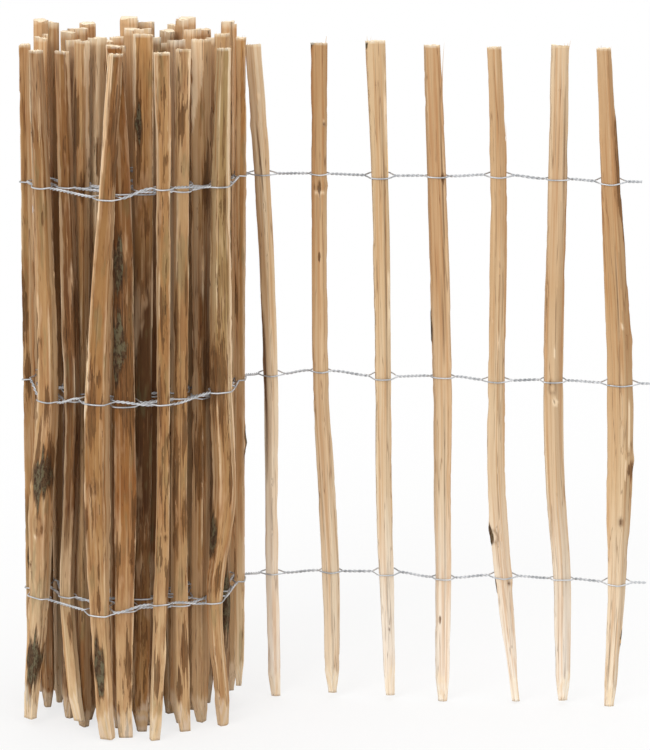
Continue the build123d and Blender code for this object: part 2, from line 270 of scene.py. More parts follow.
sky = Paint("studio", bpy.data.worlds)
plain_view = sky.larger(sky.node("ShaderNodeLightPath", out="Is Camera Ray"),
                        sky.node("ShaderNodeLightPath", out="Is Glossy Ray"))
level = sky.node("ShaderNodeMapRange", None,
                 {"Value": plain_view, "To Min": AMBIENT, "To Max": 1.0})
backdrop = sky.node("ShaderNodeBackground", None, {"Color": WHITE, "Strength": level})
sky.node("ShaderNodeOutputWorld", None, {"Surface": backdrop})
bpy.context.scene.world = sky.owner
bpy.context.scene.view_settings.view_transform = "Standard"
print("floor", FLOOR_HALF * 2, "m wide, surroundings at", AMBIENT)

# %% [markdown]
# The light is soft and comes mostly from the front and above, a little from the left.
# Wide, distant lamps light the floor evenly up to the horizon, where small lamps near
# the roll would let it turn grey, so three very soft distant lamps do the work. The
# gaps between the pales stay dark, which is what makes the roll look deep.

# %% Lamps
def unit(vectors):
    """The same directions, with a length of one."""
    return vectors / np.linalg.norm(vectors, axis=-1, keepdims=True)


def soft_lamp(name, place, width_degrees, power):
    """A distant lamp that shines from the side of a place towards the origin."""
    data = bpy.data.lights.new(name, "SUN")
    data.angle, data.energy = math.radians(width_degrees), power
    away = unit(np.array(place))
    side = unit(np.cross((0.0, 0.0, 1.0), away))
    pose = np.eye(4)
    pose[:3, 0], pose[:3, 1], pose[:3, 2], pose[:3, 3] = side, np.cross(away, side), away, place
    return put_in_scene(name, data, pose)


soft_lamp("key", (-2.4, -4.0, 2.8), 38.0, 0.95)
soft_lamp("fill", (3.4, -3.6, 1.6), 50.0, 0.42)
soft_lamp("crown", (0.4, 0.8, 5.0), 50.0, 0.55)
print("three soft lamps")

# %% [markdown]
# Wood is a solid material: its fibres run up the pale and come out as rings on a sawn
# end. So the pattern isn't wrapped round the pale. Every point of a pale carries its
# place in the log, in millimetres across, through and along, and the shader looks up
# stretched noise there. Split faces are pale, the side that lay under the bark is
# browner, shreds of inner bark cling to it in dark flames, and a few patches of real
# bark with lichen are left. The mesh says roughly where, and fine noise frays the edges.

# %% Cleft wood
def cleft_wood(name, split_light, shred_share, contrast):
    """Paint of cleft wood: how light its split faces are, how much bark clings to it and
    how strongly its fibres are marked."""
    paint = Paint(name)
    noise, ramp, mix, shade = paint.noise, paint.ramp, paint.mix, paint.shade
    place, ground = paint.read("fibre", "Vector"), paint.read("ground", "Color")
    under_bark, bark, flame, shreds = map(paint.read, ("skin", "bark", "tongues", "shreds"))
    hollow, sawn, age = map(paint.read, ("hollow", "sawn", "age"))

    hair = noise(place, 1.3, 0.010, detail=2.0)
    streak = noise(place, 0.26, 0.0036, roughness=0.55)
    broad = noise(place, 0.08, 0.004, detail=2.0, roughness=0.5)
    blotch = noise(place, 0.10, 0.016)
    fray = noise(place, 0.62, 0.050)
    stain = noise(place, 0.05, 0.011)
    crack = noise(place, 0.115, 0.0022, roughness=0.45)
    tongue = noise(place, 0.22, 0.020, detail=4.0)
    finger = noise(place, 0.36, 0.008, roughness=0.55)
    crust = noise(place, 0.40, 0.15, detail=5.0, roughness=0.75)
    lichen = noise(place, 0.13, 0.07)

    # split faces, and the browner side that lay under the bark
    split = mix(split_light, ground, "F0D8B4")
    split = shade(ramp(streak, 0.45, 0.66) * (0.40 * contrast), split, "D9AE7A")
    outer = shade(ramp(blotch, 0.42, 0.64) * 0.40, ground, "C49A74")
    outer = mix(ramp(streak, 0.52, 0.68) * 0.30, outer, "E0C198")
    outer = mix(ramp(stain, 0.56, 0.68) * 0.38, outer, "706B49")
    outer = mix(ramp(stain, 0.46, 0.32) * 0.38, outer, "D2B08A")
    skin = ramp(under_bark + (fray - 0.5) * 2.4, -0.4, 0.4)
    face = mix(skin, split, outer)

    # small shreds and large flames of inner bark
    small = ramp(tongue + shreds * 0.22 + shred_share, 0.66, 0.70)
    ragged = flame + (fray - 0.5) * 1.0 + (tongue - 0.5) * 1.5 + (finger - 0.5) * 2.6
    large = ramp(ragged, -0.02, 0.10)
    face = mix(ramp(ragged, -0.40, 0.0) * 0.34, face, "96683B")
    torn = paint.larger(small * skin, large)
    russet = mix(ramp(hair * 0.5 + fray * 0.5, 0.40, 0.62), "40280F", "7C532C")
    face = mix(torn * 0.76, face, russet)

    # patches of bark with lichen
    scurf = mix(ramp(crust, 0.38, 0.62), "37291B", "5E4832")
    scurf = mix(ramp(lichen + crust * 0.5, 0.72, 0.86) * 0.75, scurf, "6C6850")
    edge = bark + (fray - 0.5) * 1.2 + (tongue - 0.5) * 0.8
    face = mix(ramp(edge, -0.30, -0.04) * 0.75, face, russet)
    crusted = ramp(edge, -0.02, 0.14)
    face = mix(crusted * 0.95, face, scurf)

    # sawn and hewn ends show the rings of the log; their colours are fresh-cut wood, lifted
    # almost to white as painted light so that the tops read bright
    ring = paint.node("ShaderNodeMath", {"operation": "SINE"}, {0: age * 3.4 + streak * 5.0})
    end = mix(ramp(ring + hair - 0.5, -0.9, 1.1), "F8E2BC", "FFF7E6")
    face = mix(sawn, face, end)

    # fine cracks, fibres, broad shade, the dark of knots and the painted shade in splits
    uncut = 1.0 - sawn
    lines = ramp(abs(crack - 0.5), 0.012, 0.0) * uncut
    face = shade(lines * (0.42 * contrast), face, "7A5330")
    fibres = ramp(hair, 0.54, 0.76) * (0.22 * contrast) * uncut
    face = shade(fibres, face, "B0865A")
    face = shade(ramp(broad, 0.42, 0.66) * (0.22 * contrast), face, "DFC09A")
    # dark brown knots, and painted shade down the splits
    face = mix(hollow * 0.9, face, "55300F")

    height = streak * 0.6 + hair * 0.22 + torn * 0.16 + crust * crusted * 0.6 - lines * 0.3
    return paint.finish(Base_Color=face, Roughness=0.70 + streak * 0.18 + crusted * 0.1,
                        Normal=paint.bump(0.7, 0.0009, height), Specular_IOR_Level=0.25)


loose_wood = cleft_wood("loose_wood", 0.0, -0.20, 1.15)
rolled_wood = cleft_wood("rolled_wood", 0.26, -0.04, 1.5)
print("cleft wood, loose and rolled")

# %% [markdown]
# The wire is mild steel dipped in zinc. New zinc is bright and slightly spangled, and a
# few months outdoors turn it to a soft grey, so the metal is quite rough and its
# brightness wanders along the wire. Noise in the solid has no seams, which a picture
# wrapped round so thin a thing would show.

# %% Galvanised wire
def galvanised():
    paint = Paint("galvanised_wire")
    noise, ramp, mix = paint.noise, paint.ramp, paint.mix
    where = paint.node("ShaderNodeTexCoord", out="Object")
    spangle = noise(where, 420.0, 420.0, detail=2.0, roughness=0.5)
    dull = noise(where, 45.0, 45.0, roughness=0.5)
    face = mix(ramp(dull, 0.35, 0.7), "CBCDD0", "989B9F")
    face = mix(ramp(spangle, 0.4, 0.65) * 0.35, face, "DADCDE")
    return paint.finish(Base_Color=face, Metallic=0.55, Roughness=0.32 + dull * 0.22,
                        Normal=paint.bump(0.3, 0.0002, spangle))


zinc = galvanised()
print("galvanised wire")

# %% [markdown]
# Before a pale can be dressed, its main shape has to be read back from the packed
# model: a few level rings of four or five corners, one above the other. All the points
# at one height belong to one ring, and going round its middle puts them in order.

# %% Read a pale's rings
def points_of(node):
    mesh = nodes[node].data
    found = np.empty(len(mesh.vertices) * 3)
    mesh.vertices.foreach_get("co", found)
    return found.reshape(-1, 3)


def rings_of(node):
    """Heights of the rings, and their corners in plan, anticlockwise from one corner."""
    points = points_of(node)
    levels = sorted(set(np.round(points[:, 2], 5)))   # to a hundredth of a millimetre
    rings = []
    for level in levels:
        at_level = np.abs(points[:, 2] - level) < 2e-5
        corners = np.unique(np.round(points[at_level, :2], 5), axis=0)
        spokes = corners - corners.mean(axis=0)
        ring = corners[np.argsort(np.arctan2(spokes[:, 1], spokes[:, 0]))]
        if rings:
            before = rings[-1] - rings[-1].mean(axis=0)
            turns = [np.roll(ring - ring.mean(axis=0), -k, axis=0) for k in range(len(ring))]
            best = min(range(len(ring)), key=lambda k: np.abs(turns[k] - before).sum())
            ring = np.roll(ring, -best, axis=0)
        rings.append(ring)
    return np.array(levels), np.array(rings)


RINGS = {name: rings_of(name) for name in PALES}
CENTRES = {name: rings[len(rings) // 2].mean(axis=0) for name, (_, rings) in RINGS.items()}
# the axis is the middle of the outermost turn
outer_turn = np.array([CENTRES[name] for name in PALES[36:46]])
AXIS = 0.5 * (outer_turn.min(axis=0) + outer_turn.max(axis=0))
print("roll axis at", AXIS.round(4))

# %% [markdown]
# Each pale also needs its own directions: across, the way the fence runs, and outward,
# away from the middle of the roll, because its outward side is the one that was under
# the bark. On the loose end outward is the side that faces the camera, and the pales
# at the front of the roll have turned a little that way too.

# %% Directions of a pale
FRONT = {24, 25, 26, 33, 34, 35, 36, 42, 43, 44, 45, 46, 47}
TOWARDS_CAMERA = np.array([0.0, -0.8])


def number_of(name):
    """The number of a pale, by which the tables of this lesson list it."""
    return int(name[-2:])


def away_from_middle(name):
    """The way out of the fence at one pale, as its wire goes round it."""
    if name in LOOSE:
        run = CENTRES[LOOSE[-1]] - CENTRES[LOOSE[0]]
        return unit(np.array([run[1], -run[0]]))
    return unit(CENTRES[name] - AXIS)


def directions(name):
    """Across and outward for one pale, both of length one."""
    outward = away_from_middle(name)
    if number_of(name) in FRONT:
        outward = unit(0.5 * outward + TOWARDS_CAMERA)
    return np.array([-outward[1], outward[0]]), outward


DIRECTIONS = {name: directions(name) for name in PALES}
print("directions of", len(DIRECTIONS), "pales")

# %% [markdown]
# Nothing split from a log is smooth. The relief comes from a small solid noise: random
# numbers on a grid, blended smoothly between. Looking it up with millimetres divided by
# a large number along the pale and a small one across makes long ribs. The seeds are
# fixed, so every run gives the same roll.

# %% Solid noise
GRID = 32
SEEDS = {"ribs": 11, "waves": 23, "patches": 37, "dips": 400, "slides": 600, "pales": 1000}


def smooth(value, low, high):
    """Nought at the low value, one at the high one, and a soft step between."""
    t = np.clip((value - low) / (high - low), 0.0, 1.0)
    return t * t * (3.0 - 2.0 * t)


def lattice(seed):
    return np.random.default_rng(seed).random((GRID, GRID, GRID))


def wander(grid, x, y, z):
    """Smooth noise between -1 and 1 at points (or plain numbers) in units of the grid."""
    cells, blends = [], []
    for value in np.broadcast_arrays(x, y, z):
        base = np.floor(value)
        part = value - base
        cells.append(base.astype(int))
        blends.append(part * part * (3.0 - 2.0 * part))
    total = 0.0
    for corner in range(8):
        weight, index = 1.0, []
        for axis in range(3):
            up = corner >> axis & 1
            weight = weight * (blends[axis] if up else 1.0 - blends[axis])
            index.append((cells[axis] + up) % GRID)
        total = total + weight * grid[tuple(index)]
    return 2.0 * total - 1.0


RIB_GRID, WAVE_GRID, PATCH_GRID = [lattice(SEEDS[use]) for use in ("ribs", "waves", "patches")]
print("three noise grids of", GRID)

# %% [markdown]
# Between its rings the corner lines of a pale run in smooth curves, not in straight
# stretches with kinks, but the hewn point at the foot stays straight. Points are then
# laid round each ring, more of them on the long sides, and every corner is worn a
# little, because splitting leaves an edge sharp and handling breaks it.

# %% Smooth corner lines and rings of points
CORNER_PULL = 0.30        # how far a corner is worn in, as a share of its wear
CORNER_ZONE = 0.2         # the most of a side that belongs to a worn corner


def corners_at(levels, rings, heights):
    """Corner positions at many heights: straight in the hewn foot, smooth above it."""
    slopes = np.zeros_like(rings)
    for k in range(1, len(levels)):     # ring 0 is the foot, which needs no slope
        low, high = max(1, k - 1), min(len(levels) - 1, k + 1)
        slopes[k] = (rings[high] - rings[low]) / (levels[high] - levels[low])
    found = []
    for height in heights:
        k = min(max(int(np.searchsorted(levels, height)) - 1, 0), len(levels) - 2)
        span = levels[k + 1] - levels[k]
        t = (height - levels[k]) / span
        if k == 0:
            found.append(rings[0] + t * (rings[1] - rings[0]))
            continue
        a, b = 2 * t**3 - 3 * t**2 + 1, t**3 - 2 * t**2 + t
        c, d = -2 * t**3 + 3 * t**2, t**3 - t**2
        found.append(a * rings[k] + b * span * slopes[k]
                     + c * rings[k + 1] + d * span * slopes[k + 1])
    return np.array(found)


def laid_points(corners, around, wear):
    """Points round every ring, in millimetres, and how far each is from a corner."""
    count = corners.shape[1]
    sides = np.linalg.norm(np.roll(corners, -1, axis=1) - corners, axis=2).mean(axis=0)
    shares = np.maximum(2, np.round(around * sides / sides.sum()).astype(int) - 2)
    points, gaps = [], []
    for k in range(count):
        here, after, before = corners[:, k], corners[:, (k + 1) % count], corners[:, k - 1]
        points.append(here + (unit(after - here) + unit(before - here)) * wear[k] * CORNER_PULL)
        gaps.append(0.0)
        near = min(wear[k] / sides[k], CORNER_ZONE)
        far = 1.0 - min(wear[(k + 1) % count] / sides[k], CORNER_ZONE)
        for t in np.linspace(near, far, shares[k] + 1):
            points.append(here + (after - here) * t)
            gaps.append(min(t, 1.0 - t) * sides[k])
    return np.stack(points, axis=1), np.array(gaps)


print("corner lines and rings ready")

# %% [markdown]
# Some marks belong to one pale only: a split, a knot, a patch of bark that was never
# shaved off, a scrape where fresh wood shows. They are listed by the number of the pale
# they are on, with their height, how far across the pale they sit (from -0.5 to 0.5 of
# its width) and their size, as a maker would mark them on a drawing. They could be
# painted by hand on each pale, but a list is shorter and can be changed.

# %% Marks on single pales
# patches of bark: middle height, half height, place across, half width (shares of width)
BARK = {
    34: [(0.585, 0.046, -0.22, 0.4), (0.7, 0.04, -0.16, 0.24)],
    43: [(0.378, 0.036, 0.05, 0.42), (0.098, 0.034, 0.05, 0.46)],
    44: [(0.11, 0.04, -0.12, 0.3)],
    46: [(0.29, 0.03, -0.5, 0.12)],
    36: [(0.17, 0.045, 0.0, 0.5)],
    25: [(0.895, 0.026, -0.28, 0.16)],
    42: [(0.24, 0.014, 0.3, 0.2)],
    51: [(0.573, 0.022, -0.54, 0.09)],
    52: [(0.262, 0.016, -0.5, 0.14), (0.185, 0.014, -0.52, 0.08)],
    54: [(0.11, 0.016, 0.52, 0.12)],
    49: [(0.996, 0.008, -0.4, 0.16)],
    50: [(0.997, 0.008, -0.44, 0.12)],
    47: [(0.415, 0.016, 0.46, 0.2)],
}
# flames of inner bark: the same four numbers, and a fifth, below 1, for a fainter stain;
# the faint flames of pale 25 are painted shade of the recess that it stands in
FLAMES = {
    42: [(0.6, 0.055, 0.05, 0.24), (0.52, 0.045, 0.2, 0.18), (0.34, 0.03, -0.3, 0.2)],
    43: [(0.875, 0.012, -0.35, 0.16), (0.755, 0.014, 0.15, 0.1), (0.58, 0.018, -0.35, 0.16),
         (0.485, 0.03, 0.12, 0.18), (0.415, 0.035, -0.18, 0.16), (0.405, 0.028, 0.35, 0.13),
         (0.3, 0.03, 0.1, 0.5, 0.15), (0.06, 0.035, -0.1, 0.3)],
    33: [(0.86, 0.018, 0.1, 0.14), (0.595, 0.03, -0.1, 0.3), (0.62, 0.06, 0.35, 0.2),
         (0.42, 0.06, 0.3, 0.2), (0.16, 0.02, 0.2, 0.2)],
    44: [(0.89, 0.055, 0.18, 0.32), (0.845, 0.03, 0.42, 0.2), (0.54, 0.02, 0.1, 0.1),
         (0.495, 0.06, -0.14, 0.18), (0.38, 0.022, -0.1, 0.4, 0.2), (0.33, 0.03, -0.44, 0.1),
         (0.21, 0.018, 0.02, 0.1), (0.26, 0.045, 0.05, 0.5, 0.14)],
    34: [(0.56, 0.075, 0.12, 0.5), (0.49, 0.035, 0.2, 0.3), (0.69, 0.04, -0.1, 0.4),
         (0.275, 0.028, 0.34, 0.14), (0.34, 0.035, 0.42, 0.16), (0.27, 0.03, -0.3, 0.16),
         (0.12, 0.03, 0.2, 0.2)],
    45: [(0.63, 0.042, -0.12, 0.22), (0.505, 0.055, -0.25, 0.14), (0.85, 0.01, 0.2, 0.1),
         (0.23, 0.05, 0.42, 0.18), (0.1, 0.04, -0.1, 0.2)],
    35: [(0.895, 0.03, -0.05, 0.24), (0.6, 0.06, -0.3, 0.16), (0.49, 0.04, 0.2, 0.3, 0.2),
         (0.4, 0.045, -0.25, 0.2), (0.29, 0.03, -0.25, 0.2), (0.125, 0.035, 0.2, 0.3),
         (0.07, 0.02, -0.2, 0.2), (0.655, 0.045, 0.34, 0.12), (0.54, 0.05, 0.38, 0.14),
         (0.45, 0.035, 0.3, 0.16), (0.335, 0.05, 0.34, 0.16), (0.345, 0.03, -0.38, 0.12)],
    # the faint flames of pale 25 darken it as painted shade of its recess
    25: [(0.885, 0.055, -0.26, 0.24), (0.755, 0.035, 0.1, 0.4, 0.6), (0.66, 0.05, -0.1, 0.4, 0.3),
         (0.28, 0.05, 0.0, 0.45, 0.3)],
    24: [(0.895, 0.05, -0.16, 0.2), (0.8, 0.02, 0.2, 0.2)],
    26: [(0.8, 0.05, 0.2, 0.3), (0.55, 0.05, 0.1, 0.4), (0.4, 0.05, -0.2, 0.3)],
    46: [(0.53, 0.075, -0.22, 0.34), (0.41, 0.05, 0.0, 0.5, 0.0), (0.37, 0.025, 0.1, 0.1),
         (0.23, 0.02, -0.1, 0.3)],
    47: [(0.62, 0.03, -0.45, 0.12), (0.4, 0.03, 0.4, 0.16)],
    48: [(0.55, 0.1, -0.46, 0.08)],
    50: [(0.935, 0.006, -0.04, 0.07, 0.5)],
    51: [(0.945, 0.01, -0.38, 0.07, 0.5), (0.8, 0.006, 0.3, 0.08), (0.13, 0.006, -0.2, 0.08)],
    52: [(0.84, 0.03, -0.3, 0.1, 0.2), (0.62, 0.02, 0.0, 0.14, 0.1)],
    49: [(0.782, 0.014, 0.0, 0.6, 0.25), (0.68, 0.006, 0.0, 0.1)],
    53: [(0.5, 0.016, -0.1, 0.3, 0.1), (0.93, 0.006, 0.0, 0.5, 0.0)],
    54: [(0.37, 0.012, 0.42, 0.14), (0.87, 0.05, 0.5, 0.18), (0.78, 0.05, 0.48, 0.2)],
}
# scrapes that show fresh wood: the same four numbers
SCRAPES = {
    52: [(0.588, 0.003, -0.3, 0.3), (0.56, 0.036, 0.08, 0.06)],
    53: [(0.545, 0.014, 0.05, 0.06), (0.47, 0.006, 0.1, 0.2)],
    54: [(0.587, 0.003, 0.1, 0.22), (0.44, 0.03, 0.3, 0.05), (0.37, 0.03, 0.2, 0.06)],
    49: [(0.877, 0.004, 0.26, 0.1), (0.775, 0.005, 0.0, 0.4)],
    48: [(0.915, 0.006, 0.1, 0.14)],
    50: [(0.9, 0.05, 0.42, 0.08), (0.62, 0.08, 0.4, 0.07)],
    44: [(0.565, 0.032, -0.43, 0.13), (0.535, 0.022, -0.33, 0.08), (0.5, 0.02, -0.42, 0.08)],
    43: [(0.285, 0.004, -0.1, 0.12), (0.12, 0.006, -0.2, 0.1), (0.62, 0.03, -0.42, 0.06)],
    45: [(0.87, 0.014, 0.46, 0.06), (0.8, 0.01, 0.44, 0.08)],
}
# knots: height, place across, radius in millimetres, how deep the eye is sunk
KNOTS = {
    54: [(0.29, 0.08, 4.2, 3.0)],
    52: [(0.262, -0.3, 4.4, 1.2), (0.19, 0.3, 2.6, 1.0)],
    43: [(0.305, 0.05, 6.5, 0.8), (0.143, -0.05, 1.4, 1.4), (0.24, -0.42, 2.6, 2.0)],
    34: [(0.268, 0.3, 2.4, 2.6)],
    44: [(0.218, 0.02, 1.5, 2.5), (0.382, -0.05, 5.0, 0.7)],
    50: [(0.112, 0.12, 1.3, 1.0)],
    53: [(0.492, -0.05, 4.4, 0.5), (0.47, 0.05, 1.2, 0.8)],
    49: [(0.875, 0.3, 2.0, 0.8)],
    45: [(0.305, 0.2, 2.6, 0.8)],
}
# splits: lowest and highest point, place across at each, half width in millimetres
SPLITS = {
    48: [(0.33, 0.6, -0.4, -0.36, 1.6), (0.77, 0.88, 0.0, -0.2, 0.9)],
    50: [(0.4, 0.97, 0.24, 0.2, 0.9), (0.05, 0.3, 0.0, 0.1, 0.5)],
    51: [(0.05, 0.5, 0.06, 0.1, 0.6), (0.52, 0.66, 0.1, 0.06, 0.8), (0.55, 0.985, 0.2, 0.33, 1.0)],
    49: [(0.0, 0.28, 0.05, -0.05, 0.7)],
    53: [(0.02, 0.36, 0.02, 0.0, 0.6), (0.76, 0.94, 0.32, 0.3, 0.8)],
    54: [(0.02, 0.13, -0.25, -0.25, 0.7), (0.55, 0.72, 0.0, 0.05, 0.7)],
    43: [(0.7, 0.97, -0.46, -0.4, 0.9)],
    45: [(0.66, 0.98, -0.38, -0.36, 0.7)],
    34: [(0.05, 0.24, 0.34, 0.3, 0.8)],
    44: [(0.28, 0.345, -0.4, -0.38, 1.0)],
}
# knobs on the outline: height, side, half length and height of the bump in millimetres
KNOBS = {
    54: [(0.565, 1, 12.0, 1.8), (0.385, 1, 9.0, 1.4), (0.29, -1, 22.0, 1.2)],
    52: [(0.275, -1, 14.0, 2.2), (0.2, 1, 10.0, 1.2), (0.84, -1, 12.0, 0.8)],
    49: [(0.785, 1, 7.0, 1.5)],
    47: [(0.412, 1, 9.0, 2.6)],
    43: [(0.31, 1, 16.0, 2.0), (0.31, -1, 14.0, 1.0), (0.74, -1, 150.0, 1.2)],
    44: [(0.25, -1, 16.0, 1.4)],
    42: [(0.72, 1, 170.0, 1.6)],
    33: [(0.57, -1, 80.0, 1.6)],
    53: [(0.545, -1, 10.0, 1.0), (0.39, -1, 5.0, 0.8)],
    48: [(0.87, -1, 9.0, 1.2)],
    51: [(0.52, 1, 8.0, 0.9)],
}
print(sum(map(len, BARK.values())), "patches of bark,", sum(map(len, FLAMES.values())), "flames,",
      sum(map(len, KNOBS.values())), "knobs")

# %% [markdown]
# No two pales have the same colour, and most change on their way up: the foot that was
# hewn last is palest, and the belly of a rolled pale is often brown with inner bark. One
# pale in a recess of the roll is darkened with painted shade, and one seen through a gap
# is lightened with painted light. A picture could be laid over them, but names for a few
# woods, and four of them up each pale, say the same in a form that can be read and changed.

# %% Colours of the pales
# the maker's names for the colours of weathered and fresh wood, from dark to pale; the
# second, very dark brown is painted shade
WOODS = {
    "peat": "3C2612", "bog": "583A1C", "umber": "6E4A28", "amber": "98693A", "hazel": "8C643B",
    "fawn": "A0774A", "reed": "A0845A", "clay": "B0885C", "gold": "BD915F", "tan": "BB956A",
    "wheat": "C8A67E", "honey": "D2B48D", "oat": "DAC1A0", "straw": "E0CAAA", "cream": "EDDBC1",
    "chalk": "F4E8D8",
}
FRESH_WOOD, SPLINTER_WOOD = "F3DDBC", "E2C08F"
TONE_HEIGHTS = (0.08, 0.34, 0.64, 0.90)
# wood of the pales that are seen best, from the foot to the top
TONES = {
    48: "chalk cream honey straw", 49: "cream oat honey tan", 50: "chalk straw honey honey",
    51: "chalk oat wheat wheat", 52: "chalk oat honey wheat", 53: "chalk oat wheat oat",
    54: "cream honey tan wheat", 42: "wheat tan clay clay", 43: "oat tan clay hazel",
    33: "honey umber umber hazel", 44: "wheat fawn fawn hazel", 34: "wheat amber umber amber",
    45: "honey clay fawn clay", 35: "wheat clay clay wheat", 26: "wheat fawn umber tan",
    # pale 25 is very dark in its middle: painted shade of the recess in the roll where it stands
    46: "tan clay reed reed", 47: "oat tan fawn gold", 25: "fawn bog bog gold",
    # pale 23 is given lighter woods than its own: painted light, where it is seen in shade through
    # a gap
    24: "hazel wheat fawn tan", 36: "umber hazel fawn tan", 23: "oat gold gold clay",
    10: "hazel fawn tan oat",
}
ROLL_WOODS = ("hazel", "fawn", "clay", "tan", "umber", "fawn", "clay")
# the rolled pales have stood out longer, which makes them a little darker and yellower
WEATHERED = np.array([0.98, 0.965, 0.90])


def wood_up(name, heights, rng):
    """Colour of a pale at any height, blended between its named woods."""
    low, high = [ROLL_WOODS[int(k)] for k in rng.integers(len(ROLL_WOODS), size=2)]
    listed = TONES.get(number_of(name))
    woods = listed.split() if listed else (low, low, high, high)
    steps = np.array([linear(WOODS[wood]) for wood in woods])
    steps *= 1.0 if name in LOOSE else WEATHERED
    if not listed:
        steps[3] = 1.1 * steps[3] + 0.3 * linear(WOODS["oat"])
    return np.stack([np.interp(heights, TONE_HEIGHTS, steps[:, k]) for k in range(3)], axis=-1)


print(len(WOODS), "woods,", len(TONES), "pales with their own")

# %% [markdown]
# A pale is dressed step by step, and a bundle of its arrays, called p, goes from one
# step to the next. First it is bare: points laid round its rings every few millimetres,
# each with its place across, outward and up in millimetres. The pales that are seen
# best get more points than those inside the roll.

# %% Lay out a bare pale
# points round a pale, and rings up it
FINENESS = {"loose": (52, 210), "front": (48, 190), "outer": (34, 130), "inner": (22, 90)}
FOOT_RINGS = 9            # rings up the hewn foot
LAST_INNER = 29           # pales up to this number lie deep in the roll, but for FRONT
# how far inside the skin side a point is, in millimetres: none of it near, or nothing else
ALL_SPLIT, ALL_SKIN = -6.0, 6.0


def kind_of(name):
    if name in LOOSE:
        return "loose"
    if number_of(name) in FRONT:
        return "front"
    return "outer" if number_of(name) > LAST_INNER else "inner"


def middle_at(p, heights):
    """The middle of a pale in plan, at given heights."""
    return np.column_stack([np.interp(heights, p.heights, p.middle[:, k]) for k in (0, 1)])


def bare_pale(name):
    """Everything about one pale before its wood is worked."""
    p = SimpleNamespace(name=name, number=number_of(name), kind=kind_of(name))
    p.rng = np.random.default_rng(SEEDS["pales"] + p.number)
    p.offset = p.number * 3.7     # takes each pale to another part of the noise
    p.across, p.outward = DIRECTIONS[name]
    p.levels, rings = RINGS[name]
    around, steps = FINENESS[p.kind]
    p.heights = np.concatenate([np.linspace(p.levels[0], p.levels[1], FOOT_RINGS)[:-1],
                                np.linspace(p.levels[1], p.levels[-1], steps)])
    corners = corners_at(p.levels, rings, p.heights)
    p.middle = corners.mean(axis=1)
    local = (corners - p.middle[:, None, :]) * 1000
    local = np.stack([local @ p.across, local @ p.outward], axis=2)
    turning = np.roll(local[0], -1, axis=0) - local[0]
    if np.cross(turning, np.roll(turning, -1, axis=0)).sum() < 0:
        local = local[:, ::-1]
    laid, p.gap = laid_points(local, around, p.rng.uniform(0.5, 1.5, local.shape[1]))
    p.x, p.y = laid[..., 0], laid[..., 1]
    p.z = np.repeat(p.heights[:, None] * 1000, p.x.shape[1], axis=1)
    p.wide = (p.x.max(axis=1) - p.x.min(axis=1))[:, None]
    p.place = p.x / p.wide        # share of the width, from the middle
    p.crest = p.y.max(axis=1)[:, None]
    along = np.roll(laid, -1, axis=1) - np.roll(laid, 1, axis=1)
    normal = unit(np.stack([along[..., 1], -along[..., 0]], axis=-1))
    p.side_on, p.facing = normal[..., 0], normal[..., 1]
    p.skin = np.full_like(p.x, ALL_SPLIT if p.kind == "loose" else ALL_SKIN)
    p.fresh, p.tint = np.zeros_like(p.x), np.ones_like(p.x)
    return p


print("points round and rings up a pale:", FINENESS)

# %% [markdown]
# A pale split from a log has a few long flat faces that meet in ridges. The packed
# shape has its main corners only, so the smaller facets are cut here, always inwards. A
# facet is a line that wanders along the pale, and a slope at which the wood falls away
# to one side of it. On the rolled pales the skin side is also slightly round, as the
# log was, and narrow split edges show beside it. A bevel would round every edge alike,
# which is just what splitting doesn't do.

# %% Facets
# loose pales: facets facing out, each with its place across at the foot, half way up and at
# the top, its slope, 1 where the wood falls away to the right or -1 to the left, and the
# painted shade (below 1) or painted light (above 1) of the facet that falls away
FACETS = {
    48: [(-0.1, 0.14, -0.1, 0.3, 1, 1.02), (-0.5, -0.3, -0.42, 0.8, -1, 0.92)],
    49: [(-0.02, 0.26, 0.3, 0.45, 1, 0.88), (-0.42, -0.4, -0.38, 0.4, -1, 0.9)],
    50: [(0.06, 0.18, 0.26, 0.55, 1, 0.9), (-0.4, -0.44, -0.46, 0.3, -1, 1.04)],
    51: [(0.12, 0.14, 0.34, 0.6, 1, 1.07), (-0.3, -0.36, -0.44, 0.25, -1, 0.94)],
    52: [(0.1, 0.12, 0.06, 0.4, 1, 0.92), (-0.3, -0.28, -0.2, 0.35, -1, 1.04)],
    53: [(0.06, 0.06, 0.28, 0.6, 1, 0.84), (-0.44, -0.4, -0.46, 0.3, -1, 1.05)],
    54: [(0.2, 0.18, 0.22, 0.65, 1, 0.8), (-0.28, -0.12, -0.48, 0.22, -1, 1.05)],
}
# width in millimetres of the fresh split wood on one side of a pale, at given heights
SPLIT_EDGES = {
    (44, -1): ((0.1, 0.0), (0.5, 1.6), (0.7, 2.6), (0.98, 8.5)),
    (45, -1): ((0.5, 0.6), (0.98, 2.2)),
    (26, -1): ((0.865, 0.0), (0.92, 6.5), (0.965, 15.0)),
    (46, 1): ((0.34, 0.0), (0.42, 6.5), (0.98, 8.0)),
    (35, -1): ((0.4, 0.5), (0.98, 1.8)),
    (43, -1): ((0.55, 0.0), (0.8, 2.2)),
    (34, -1): ((0.8, 0.0), (0.95, 3.0)),
    (25, 1): ((0.6, 0.0), (0.98, 3.5)),
    (25, -1): ((0.84, 0.0), (0.98, 3.0)),
    (24, -1): ((0.6, 0.0), (0.98, 2.4)),
    (24, 1): ((0.74, 0.0), (0.9, 3.0), (0.98, 4.5)),
    (33, 1): ((0.8, 0.0), (0.98, 2.8)),
    (35, 1): ((0.82, 0.0), (0.98, 3.0)),
    (10, -1): ((0.7, 1.0), (0.98, 4.0)),
}
print(sum(map(len, FACETS.values())), "facets,", len(SPLIT_EDGES), "listed split edges")

# %% Cut the facets
BACK_EDGE, BACK_SLOPE = 0.2, 0.45     # the two facets at the back of a loose pale
LOG_RADIUS = (17.0, 34.0)             # millimetres, of the log that a rolled pale came from
EDGE_SLOPE = 0.75                     # of the split strips beside the skin


